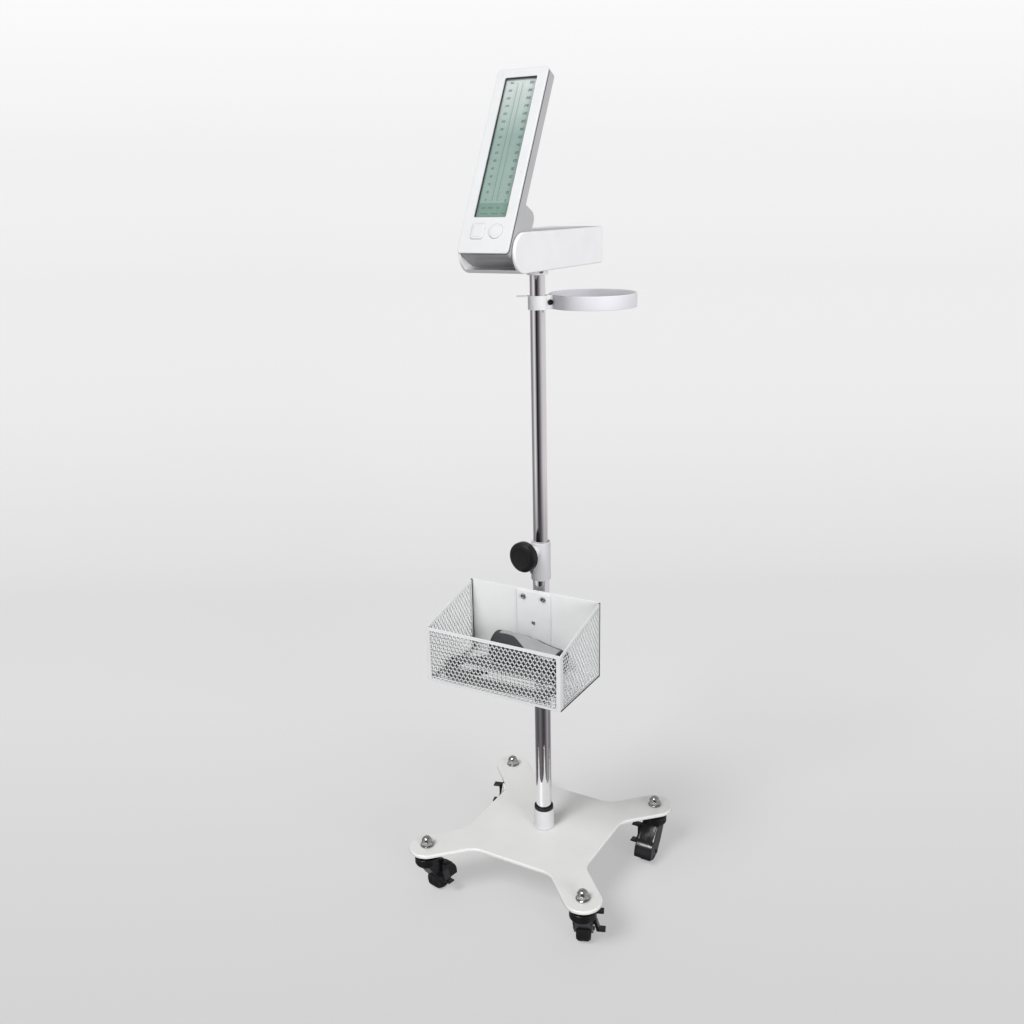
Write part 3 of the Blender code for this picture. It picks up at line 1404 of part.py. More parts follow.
def bracket_fasteners():
    """Two bolts and a lower screw, their heads inside the basket."""
    face = BASKET_BACK - BASKET_BACK_THICK - BRACKET_THICK - 2 * GAP
    pad_back = BASKET_BACK + GAP + SADDLE_PAD_THICK
    for name, side in (("bracket_bolt_left", -1), ("bracket_bolt_right", 1)):
        shank = pad_back - face + BOLT_TIP
        bolt = headed_pin(name, BOLT_RADIUS, shank, BOLT_HEAD_RADIUS, BOLT_HEAD, TINY_STEPS)
        place(bolt, (side * BOLT_SPACING / 2, face, BOLT_HEIGHT), FRONT)
        dress(bolt, STEEL)
    shank = BASKET_BACK - face + SCREW_TIP
    screw = headed_pin(
        "bracket_screw", SCREW_RADIUS, shank, SCREW_HEAD_RADIUS, SCREW_HEAD, TINY_STEPS
    )
    place(screw, (0.0, face, SCREW_HEIGHT), FRONT)
    dress(screw, STEEL)


# Casters


def stem_mesh():
    """Threaded stem with the dust cap and the ball race under the plate."""
    top = PLATE_TOP + STEM_RISE
    under = PLATE_BOTTOM - GAP
    race = under - CAP_THICK
    profile = [
        (0.0, top),
        (STEM_RADIUS, top),
        (STEM_RADIUS, under),
        (CAP_RADIUS, under),
        (CAP_RADIUS, race),
        (RACE_RADIUS, race),
        (RACE_RADIUS, race - RACE_HEIGHT),
        (0.0, race - RACE_HEIGHT),
    ]
    return finished_mesh_of(turned("stem_shape", profile, SMALL_STEPS))


def nut_mesh():
    """Dome nut: hexagon, dome and washer face, with its blind bore."""
    bottom = PLATE_TOP + GAP
    hexagon = rod("nut_shape", NUT_RADIUS, NUT_HEX_HEIGHT, NUT_SIDES)
    place(hexagon, (0.0, 0.0, bottom + NUT_WASHER + NUT_HEX_HEIGHT / 2))
    shelf = bottom + NUT_WASHER + NUT_HEX_HEIGHT
    dome = [
        (NUT_DOME_RADIUS * math.cos(a), shelf + NUT_DOME_HEIGHT * math.sin(a))
        for a in np.linspace(math.pi / 2, 0.0, NUT_DOME_STEPS + 1)
    ]
    dome[0] = (0.0, shelf + NUT_DOME_HEIGHT)
    dome += [(NUT_DOME_RADIUS, shelf - NUT_WASHER), (0.0, shelf - NUT_WASHER)]
    cap = turned("nut_dome", dome, SMALL_STEPS)
    washer = rod("nut_washer", NUT_WASHER_RADIUS, 2 * NUT_WASHER, SMALL_STEPS)
    place(washer, (0.0, 0.0, bottom + NUT_WASHER))
    bore = rod("nut_bore", STEM_RADIUS + GAP, 2 * (STEM_RISE + GAP), SMALL_STEPS)
    place(bore, (0.0, 0.0, bottom))
    join(hexagon, cap, washer)
    cut(hexagon, bore)
    return finished_mesh_of(hexagon)


def fork_outline():
    """Side view of the hood and legs: local X is the trail, local Y the height."""
    axle = (CASTER_TRAIL, WHEEL_RADIUS)
    radius = WHEEL_RADIUS + WHEEL_TOP_PLAY + HOOD_THICK
    shoulder = DRUM_BOTTOM + DRUM_CHAMFER
    hood = arc(axle, radius, 62, -8, HOOD_STEPS)
    foot = arc(axle, LEG_FOOT_RADIUS, -30, -150, 4)
    back = -DRUM_RADIUS * NECK_BACK_SHARE
    front = DRUM_RADIUS * NECK_FRONT_SHARE
    waist = (
        CASTER_TRAIL - radius * WAIST_SHARES[0],
        WHEEL_RADIUS + radius * WAIST_SHARES[1],
    )
    return [(back, shoulder), (front, shoulder)] + hood + foot + [waist]


def fork_mesh():
    """Swivel drum, hood and two legs with the riveted axle and the pedal's pin."""
    drum = turned(
        "fork_shape",
        [
            (0.0, DRUM_TOP),
            (DRUM_RADIUS - DRUM_CHAMFER / 2, DRUM_TOP),
            (DRUM_RADIUS, DRUM_TOP - DRUM_CHAMFER / 2),
            (DRUM_RADIUS, DRUM_BOTTOM + DRUM_CHAMFER),
            (DRUM_RADIUS - DRUM_CHAMFER, DRUM_BOTTOM),
            (0.0, DRUM_BOTTOM),
        ],
        WHEEL_STEPS,
    )
    slot = WHEEL_WIDTH + 2 * WHEEL_SIDE_PLAY
    width = 2 * FORK_HALF_WIDTH
    hood = extruded("fork_hood", fork_outline(), width)
    place(hood, (0.0, 0.0, 0.0), FRONT)
    wheel_room = rod("fork_wheel_room", WHEEL_RADIUS + WHEEL_TOP_PLAY, slot, WHEEL_STEPS)
    place(wheel_room, (CASTER_TRAIL, 0.0, WHEEL_RADIUS), FRONT)
    axle = rod("fork_axle", AXLE_RADIUS, width + 2 * AXLE_PROUD, TINY_STEPS)
    place(axle, (CASTER_TRAIL, 0.0, WHEEL_RADIUS), FRONT)
    join(drum, hood)
    cut(drum, wheel_room)
    join(drum, axle)
    side = -(FORK_HALF_WIDTH + PEDAL_BOSS)
    centre = CASTER_TRAIL * PEDAL_CENTRE_SHARE
    reach = PEDAL_BOSS + LUG_HALF_HEIGHT
    for end in (-1, 1):
        x = centre + end * (PEDAL_WIDTH / 2 + GAP + LUG_THICK / 2)
        lug = box(f"fork_lug_{end}", (LUG_THICK, reach + GAP, 2 * LUG_HALF_HEIGHT))
        join(drum, place(lug, (x, side + (reach - GAP) / 2 - LUG_HALF_HEIGHT / 2, PEDAL_PIVOT_HEIGHT)))
    pin = rod("fork_pin", PEDAL_PIVOT_RADIUS, PEDAL_WIDTH + 2 * GAP + LUG_THICK, TINY_STEPS)
    place(pin, (centre, side, PEDAL_PIVOT_HEIGHT), ACROSS)
    join(drum, pin)
    return finished_mesh_of(drum)


def wheel_mesh():
    """Tyre with round shoulders, recessed sides and a hub, about local Z."""
    half = WHEEL_WIDTH / 2
    bore = AXLE_RADIUS + RUNNING
    tread, shoulder = WHEEL_SHOULDER_SHARES
    rim, well, depth = WHEEL_RECESS_SHARES
    side = [
        (WHEEL_RADIUS, half * tread),
        (WHEEL_RADIUS * shoulder, half),
        (WHEEL_RADIUS * rim, half),
        (WHEEL_RADIUS * well, half * depth),
        (bore, half * depth),
    ]
    lower = [(radius, -height) for radius, height in side]
    return finished_mesh_of(turned("wheel_shape", lower + side[::-1], WHEEL_STEPS, closed=True))


def pedal_mesh():
    """Rocking brake pedal on the fork's side: two tabs on a bent plate, about its own pivot."""
    inner = PEDAL_BOSS - GAP
    lean = PEDAL_ARM * math.tan(PEDAL_SWING)
    outer = -PEDAL_THICK
    low = -PEDAL_ARM
    outline = [
        (inner, 0.0),
        (inner, PEDAL_ARM),
        (outer - PEDAL_UPPER_REACH, PEDAL_ARM),
        (outer - PEDAL_UPPER_REACH, PEDAL_ARM - PEDAL_THICK),
        (outer, PEDAL_ARM - PEDAL_THICK),
        (outer, 0.0),
        (inner - lean - PEDAL_THICK - PEDAL_BOSS, low + PEDAL_THICK),
        (inner - lean - PEDAL_THICK - PEDAL_LOWER_REACH, low + PEDAL_THICK),
        (inner - lean - PEDAL_THICK - PEDAL_LOWER_REACH, low),
        (inner - lean, low),
    ]
    hole = circle((0.0, 0.0), PEDAL_PIVOT_RADIUS + RUNNING, TINY_STEPS)
    pedal = extruded("pedal_shape", outline, PEDAL_WIDTH, [hole])
    place(pedal, (0.0, 0.0, 0.0), SIDE)
    bpy.context.view_layer.update()
    pedal.data.transform(pedal.matrix_world)
    place(pedal, (0.0, 0.0, 0.0))
    return finished_mesh_of(pedal)


def finished_mesh_of(obj):
    """The evaluated mesh of a shape that is then removed, with its placement applied."""
    mesh = finished_mesh(obj)
    mesh.transform(obj.matrix_world)
    bpy.data.objects.remove(obj)
    return mesh


def casters():
    """Four casters: each fork turns about its stem, which the plate's lobe carries."""
    shapes = {
        "stem": (stem_mesh(), STEEL),
        "nut": (nut_mesh(), CHROME),
        "fork": (fork_mesh(), BLACK_PLASTIC),
        "wheel": (wheel_mesh(), BLACK_RUBBER),
        "pedal": (pedal_mesh(), BLACK_PLASTIC),
    }
    pedal_x = CASTER_TRAIL * PEDAL_CENTRE_SHARE
    pedal_y = -FORK_HALF_WIDTH - PEDAL_BOSS
    places = {
        "wheel": ((CASTER_TRAIL, 0.0, WHEEL_RADIUS), FRONT),
        "pedal": ((pedal_x, pedal_y, PEDAL_PIVOT_HEIGHT), UP),
    }
    names = {
        "stem": "caster_stem",
        "nut": "dome_nut",
        "fork": "caster_fork",
        "wheel": "caster_wheel",
        "pedal": "caster_pedal",
    }
    for corner, (x, y) in CASTER_CORNERS.items():
        spot = (x * NUT_OFFSET, y * NUT_OFFSET, 0.0)
        heading = (0.0, 0.0, math.radians(CASTER_HEADINGS[corner]))
        swivel = marker(f"caster_axis_{corner}", spot, heading)
        for kind, (mesh, look) in shapes.items():
            piece = link(bpy.data.objects.new(f"{names[kind]}_{corner}", mesh.copy()))
            location, rotation = places.get(kind, ((0.0, 0.0, 0.0), UP))
            place(piece, location, rotation, swivel)
            dress(piece, look)
    for mesh, _ in shapes.values():
        bpy.data.meshes.remove(mesh)


# Cuff and hose


def cuff_layer_radius(turns):
    """Radius of the middle of the rolled cloth, this many turns in from its outer end."""
    return CUFF_RADIUS - CUFF_THICK / 2 - CUFF_PITCH * turns


def cuff_outline():
    """The rolled cloth's end view: its outer face all the way in, then its inner face back out."""
    count = int(CUFF_TURNS * CUFF_STEPS)
    turns = np.linspace(0.0, CUFF_TURNS, count + 1)
    angles = CUFF_START + turns * math.tau
    radii = cuff_layer_radius(turns)
    outer = [(r * math.cos(a), r * math.sin(a)) for r, a in zip(radii + CUFF_THICK / 2, angles)]
    inner = [(r * math.cos(a), r * math.sin(a)) for r, a in zip(radii - CUFF_THICK / 2, angles)]
    return outer + inner[::-1]


def cuff_height():
    """Height of the roll's middle where its lowest point lies on the floor net."""
    return NET_FLOOR_TOP + GAP - min(y for _, y in cuff_outline())


def arm_cuff():
    """Cuff rolled up on itself, a spiral of thick cloth lying on the basket's floor."""
    cuff = extruded("arm_cuff", cuff_outline(), CUFF_LENGTH)
    place(cuff, (CUFF_CENTRE_X, CUFF_CENTRE_Y, cuff_height()), SIDE)
    dress(cuff, CUFF_CLOTH)


def hose_exit():
    """Where the hose leaves the cuff's left end: the second layer of cloth, straight below the middle."""
    down = math.radians(-90)
    turns = ((down - CUFF_START) / math.tau) % 1 + 1
    height = cuff_height() - cuff_layer_radius(turns)
    return (CUFF_CENTRE_X - CUFF_LENGTH / 2 - GAP, CUFF_CENTRE_Y, height)


def hank_loop():
    """One loop of the hank in X and Y, counterclockwise from its left end, as runs with round ends."""
    half = HANK_RUN / 2
    left = (HANK_X - half, HANK_Y)
    right = (HANK_X + half, HANK_Y)
    quarter = HOSE_END_STEPS // 2
    points = arc(left, HANK_RADIUS, 180, 270, quarter)
    for share in np.linspace(0.0, 1.0, HOSE_RUN_STEPS + 2)[1:-1]:
        swell = HANK_BULGE * math.sin(math.pi * share)
        points.append((left[0] + share * HANK_RUN, HANK_Y - HANK_RADIUS - swell))
    points += arc(right, HANK_RADIUS, -90, 90, HOSE_END_STEPS)
    for share in np.linspace(1.0, 0.0, HOSE_RUN_STEPS + 2)[1:-1]:
        swell = HANK_BULGE * math.sin(math.pi * share)
        points.append((left[0] + share * HANK_RUN, HANK_Y + HANK_RADIUS + swell))
    points += arc(left, HANK_RADIUS, 90, 180, quarter)[:-1]
    return points


def hose_points():
    """The hose's middle line: out of the cuff, round to the hank, and up through its loops."""
    start = hose_exit()
    base = NET_FLOOR_TOP + GAP + HOSE_DIAMETER / 2
    straight = start[0] - HOSE_DIAMETER
    join_x = HANK_X - HANK_RUN / 2 - HANK_RADIUS
    points = [start, (straight, start[1], start[2])]
    for share in np.linspace(0.0, 1.0, HOSE_LEAD_STEPS + 1)[1:-1]:
        angle = share * math.pi / 2
        ease = share * share * (3 - 2 * share)
        x = straight - (straight - join_x) * math.sin(angle)
        y = HANK_Y + (start[1] - HANK_Y) * math.cos(angle)
        points.append((x, y, start[2] + (base - start[2]) * ease))
    loop = hank_loop()
    count = int(round(HOSE_LOOPS * len(loop)))
    for index in range(count):
        x, y = loop[index % len(loop)]
        points.append((x, y, base + HOSE_RISE * index / len(loop)))
    last = points[-1]
    points.append((last[0] + HOSE_DIAMETER, last[1], last[2] + HOSE_TAIL_RISE))
    return points


def least_gap(points):
    """Least clear space between stretches of the hose that aren't neighbours along it."""
    line = np.array(points)
    fine = np.concatenate(
        [line[:-1] + (line[1:] - line[:-1]) * share for share in (0.0, 0.25, 0.5, 0.75)]
    ).reshape(4, -1, 3)
    fine = fine.transpose(1, 0, 2).reshape(-1, 3)
    along = np.concatenate([[0.0], np.cumsum(np.linalg.norm(np.diff(fine, axis=0), axis=1))])
    apart = np.linalg.norm(fine[:, None] - fine[None], axis=2)
    far = np.abs(along[:, None] - along[None]) > 4 * HOSE_DIAMETER
    return float(apart[far].min() - HOSE_DIAMETER)


def air_hose():
    """One unbroken tube from the cuff through the hank to its plug."""
    points = hose_points()
    curve = bpy.data.curves.new("air_hose", "CURVE")
    curve.dimensions = "3D"
    curve.bevel_depth = HOSE_DIAMETER / 2
    curve.bevel_resolution = 1
    curve.use_fill_caps = True
    spline = curve.splines.new("POLY")
    spline.points.add(len(points) - 1)
    for point, place_of in zip(spline.points, points):
        point.co = (*place_of, 1.0)
    hose = link(bpy.data.objects.new("air_hose", curve))
    length = float(np.linalg.norm(np.diff(np.array(points), axis=0), axis=1).sum())
    print(f"air_hose is {length:.3f} m long, its least gap to itself {1000 * least_gap(points):.2f} mm")
    dress(hose, HOSE_GREY)
    return points


def hose_plug(points):
    """Plug on the hose's end, along the hose's last stretch."""
    end = Vector(points[-1])
    direction = (end - Vector(points[-2])).normalized()
    profile = [
        (0.0, PLUG_LENGTH + PLUG_NOSE),
        (PLUG_NOSE_RADIUS, PLUG_LENGTH + PLUG_NOSE),
        (PLUG_NOSE_RADIUS, PLUG_LENGTH),
        (PLUG_RADIUS * PLUG_SHOULDER_SHARE, PLUG_LENGTH),
        (PLUG_RADIUS, PLUG_LENGTH * PLUG_SHOULDER_SHARE),
        (PLUG_RADIUS, PLUG_LENGTH * (1 - PLUG_SHOULDER_SHARE)),
        (PLUG_RADIUS * PLUG_FOOT_SHARE, 0.0),
        (0.0, 0.0),
    ]
    plug = turned("hose_plug", profile, SMALL_STEPS)
    turn = direction.to_track_quat("Z", "Y").to_euler()
    place(plug, end + direction * GAP, turn)
    dress(plug, BLACK_PLASTIC)


def main():
    """Builds the stand from the floor up, then the head and what lies in the basket."""
    clear_scene()
    base_plate()
    pole_socket()
    socket_ring()
    lower_tube()
    mast_collar()
    collar_bolt()
    clamp_knob()
    casters()
    basket()
    bracket_plate()
    pole_saddle()
    bracket_fasteners()
    tube_foot()
    upper_tube()
    hoop_collar()
    hoop_ring()
    hoop_screw()
    cradle_body()
    cradle_cover()
    cradle_screw()
    tilt_pin()
    head()
    arm_cuff()
    hose_plug(air_hose())


main()
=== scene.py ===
"""Looks of an automatic blood pressure monitor on its rolling stand.

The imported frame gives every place. Each sub-assembly is a class that works out its own
surfaces in metres and dresses them in the finishes below.
"""

from __future__ import annotations

import json
import logging
import math
from dataclasses import dataclass, field
from enum import Enum

import bmesh
import bpy
import numpy as np
from mathutils import Matrix, Vector
from mathutils.geometry import tessellate_polygon

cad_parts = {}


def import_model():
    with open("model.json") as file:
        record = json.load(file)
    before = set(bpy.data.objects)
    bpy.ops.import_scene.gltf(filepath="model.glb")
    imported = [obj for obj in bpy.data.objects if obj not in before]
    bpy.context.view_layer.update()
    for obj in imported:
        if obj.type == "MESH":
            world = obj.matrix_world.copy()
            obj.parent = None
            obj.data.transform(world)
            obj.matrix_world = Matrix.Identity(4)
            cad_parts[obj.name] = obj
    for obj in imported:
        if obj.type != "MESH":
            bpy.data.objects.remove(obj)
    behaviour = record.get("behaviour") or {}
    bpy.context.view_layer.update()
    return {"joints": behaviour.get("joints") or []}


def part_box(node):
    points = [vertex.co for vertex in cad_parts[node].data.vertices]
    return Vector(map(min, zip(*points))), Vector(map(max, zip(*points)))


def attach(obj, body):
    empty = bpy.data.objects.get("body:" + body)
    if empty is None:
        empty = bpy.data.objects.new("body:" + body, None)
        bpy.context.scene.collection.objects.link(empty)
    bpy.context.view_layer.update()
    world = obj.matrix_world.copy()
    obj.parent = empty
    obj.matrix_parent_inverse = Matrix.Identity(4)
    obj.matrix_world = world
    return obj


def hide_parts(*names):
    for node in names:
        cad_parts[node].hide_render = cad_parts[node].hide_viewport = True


LOG = logging.getLogger("monitor")
Array = np.ndarray
Colour = tuple[float, float, float]
Point = tuple[float, float, float]
MERGE = 0.000002
SUPPORT = 0.0004


class Corner(Enum):
    """The four casters, by the short name that their nodes and bodies carry."""

    LEFT_FRONT = "lf"
    RIGHT_FRONT = "rf"
    RIGHT_REAR = "rr"
    LEFT_REAR = "lr"


class Side(Enum):
    """The basket's net panels."""

    FRONT = "basket_front"
    LEFT = "basket_left"
    RIGHT = "basket_right"
    FLOOR = "basket_floor"


@dataclass(frozen=True)
class Placing:
    """Where a local shape lies: its origin, and its own axes as the columns of a matrix."""

    origin: Array
    axes: Array = field(default_factory=lambda: np.eye(3))

    def put(self, points: Array) -> Array:
        """Carries local points to the frame: the origin plus each coordinate along its axis."""
        return np.asarray(self.origin) + np.asarray(points) @ np.asarray(self.axes).T

    @staticmethod
    def along(origin: Array, direction: Array, up: Array = (0.0, 0.0, 1.0)) -> Placing:
        """A placing whose local Z runs along a direction.

        Args:
            origin: The local origin in the frame.
            direction: Where local Z points.
            up: A vector that local Y leans towards.

        Returns:
            The placing, with local X square to both.
        """
        z = np.asarray(direction, float)
        z = z / np.linalg.norm(z)
        x = np.cross(np.asarray(up, float), z)
        x = x / np.linalg.norm(x)
        return Placing(np.asarray(origin, float), np.stack([x, np.cross(z, x), z], axis=1))


def arc(centre: tuple[float, float], radius: float, start: float, end: float, steps: int) -> Array:
    """Points of an arc: the centre plus the radius times cosine and sine, in degrees, ends included.

    Args:
        centre: The arc's middle.
        radius: Its radius.
        start: The first angle.
        end: The last angle.
        steps: How many pieces it is cut in.

    Returns:
        Points as rows of two.
    """
    angle = np.radians(np.linspace(start, end, steps + 1))
    return np.stack([centre[0] + radius * np.cos(angle), centre[1] + radius * np.sin(angle)], axis=1)


def circle(centre: tuple[float, float], radius: float, steps: int) -> Array:
    """Points once round a circle, counterclockwise."""
    return arc(centre, radius, 0.0, 360.0, steps)[:-1]


def round_box(
    width: float, height: float, radius: float, centre: tuple[float, float] = (0.0, 0.0), steps: int = 8
) -> Array:
    """The outline of a rectangle whose corners are quarter circles, counterclockwise.

    Args:
        width: Full size along the first axis.
        height: Full size along the second axis.
        radius: The corners' radius.
        centre: The rectangle's middle.
        steps: Pieces of each corner.

    Returns:
        Points as rows of two.
    """
    x = width / 2 - radius
    y = height / 2 - radius
    corners = ((x, -y, -90.0), (x, y, 0.0), (-x, y, 90.0), (-x, -y, 180.0))
    parts = [arc((centre[0] + a, centre[1] + b), radius, t, t + 90.0, steps) for a, b, t in corners]
    return np.concatenate(parts)


def softened(points: Array, radius: float, steps: int = 4, closed: bool = False) -> Array:
    """A polyline whose inner corners become arcs that touch both sides.

    At a corner of half angle h the arc starts radius / tan(h) from it, at most just under
    half a side, and its middle lies on the bisector.

    Args:
        points: Rows of two.
        radius: The arcs' radius where the sides are long enough.
        steps: Pieces of each arc.
        closed: Whether the last point joins the first.

    Returns:
        Rows of two.
    """
    line = np.asarray(points, float)
    count = len(line)
    made = []
    for i in range(count):
        if not closed and i in (0, count - 1):
            made.append(line[i : i + 1])
            continue
        back = line[i - 1] - line[i]
        ahead = line[(i + 1) % count] - line[i]
        long_back, long_ahead = np.linalg.norm(back), np.linalg.norm(ahead)
        back, ahead = back / long_back, ahead / long_ahead
        half = math.acos(float(np.clip(back @ ahead, -1.0, 1.0))) / 2
        if half > 1.5:
            made.append(line[i : i + 1])
            continue
        reach = min(radius / math.tan(half), 0.49 * min(long_back, long_ahead))
        bend = reach * math.tan(half)
        bisector = (back + ahead) / np.linalg.norm(back + ahead)
        middle = line[i] + bisector * bend / math.sin(half)
        first = line[i] + back * reach - middle
        last = line[i] + ahead * reach - middle
        share = np.linspace(0.0, 1.0, steps + 1)[:, None]
        turn = math.pi - 2 * half
        made.append(
            middle + (np.sin((1 - share) * turn) * first + np.sin(share * turn) * last) / math.sin(turn)
        )
    return np.concatenate(made)


def miter(outline: Array) -> Array:
    """How each point of a counterclockwise outline moves for a unit of outward offset.

    It is the sum of the two neighbouring sides' normals over one plus their dot product.
    """
    side = np.roll(outline, -1, axis=0) - outline
    normal = np.stack([side[:, 1], -side[:, 0]], axis=1)
    normal /= np.linalg.norm(normal, axis=1, keepdims=True)
    before = np.roll(normal, 1, axis=0)
    return (before + normal) / (1.0 + np.sum(before * normal, axis=1, keepdims=True))


def lifted(outline: Array, height: float | Array) -> Array:
    """Rows of two with a third coordinate."""
    tall = np.broadcast_to(np.asarray(height, float), (len(outline),))
    return np.column_stack([outline, tall])


def turned(profile: Array, steps: int = 72) -> Array:
    """A surface of revolution: radius times cosine and sine of the turn, and the profile's height.

    Args:
        profile: Rows of radius and height.
        steps: Columns of the grid round the axis.

    Returns:
        A grid of profile rows by steps by three.
    """
    angle = np.linspace(0.0, math.tau, steps, endpoint=False)
    radius, height = np.asarray(profile, float).T
    x = radius[:, None] * np.cos(angle)
    y = radius[:, None] * np.sin(angle)
    return np.stack([x, y, np.broadcast_to(height[:, None], x.shape)], axis=2)


def rolled_rings(
    outline: Array,
    low: float,
    high: float,
    round_low: float | Array = 0.0,
    round_high: float | Array = 0.0,
    steps: int = 4,
) -> Array:
    """The side of a slab as rings: a quarter roll at the bottom, the wall, a quarter roll at the top.

    Each ring is the outline drawn in by radius times (1 - cosine) and sits at radius times
    (1 - sine) from its face. A last ring a little further in keeps the flat face's shading flat.

    Args:
        outline: Counterclockwise rows of two.
        low: The lower face's height.
        high: The upper face's height.
        round_low: Radius of the lower edge, for all points or for each.
        round_high: Radius of the upper edge, for all points or for each.
        steps: Pieces of each roll.

    Returns:
        A grid of rings by points by three.
    """
    away = miter(outline)
    count = len(outline)
    support = min(SUPPORT, 0.12 * float(np.ptp(outline, axis=0).min()))
    below = np.broadcast_to(np.asarray(round_low, float), (count,))
    above = np.broadcast_to(np.asarray(round_high, float), (count,))
    angle = np.linspace(0.0, math.pi / 2, steps + 1)
    rows = [(below + support, np.full(count, low))]
    rows += [(below * (1 - math.sin(a)), low + below * (1 - math.cos(a))) for a in angle]
    rows += [(above * (1 - math.cos(a)), high - above * (1 - math.sin(a))) for a in angle]
    rows.append((above + support, np.full(count, high)))
    return np.stack([np.column_stack([outline - inset[:, None] * away, tall]) for inset, tall in rows])


def swept(path: Array, section: Array, up: Array = (0.0, 0.0, 1.0)) -> Array:
    """A section carried along a path: local X is square to the path and to up, local Y to both.

    Args:
        path: Rows of three.
        section: Rows of two, counterclockwise.
        up: A vector that the path never runs along.

    Returns:
        A grid of path rows by section points by three.
    """
    tangent = np.gradient(path, axis=0)
    tangent /= np.linalg.norm(tangent, axis=1, keepdims=True)
    across = np.cross(tangent, np.asarray(up, float))
    across /= np.linalg.norm(across, axis=1, keepdims=True)
    upward = np.cross(across, tangent)
    return (
        path[:, None] + section[None, :, :1] * across[:, None] + section[None, :, 1:] * upward[:, None]
    )


def smooth_step(values: Array, low: float, high: float) -> Array:
    """Zero below low, one above high, and 3t² - 2t³ between."""
    share = np.clip((values - low) / (high - low), 0.0, 1.0)
    return share * share * (3 - 2 * share)


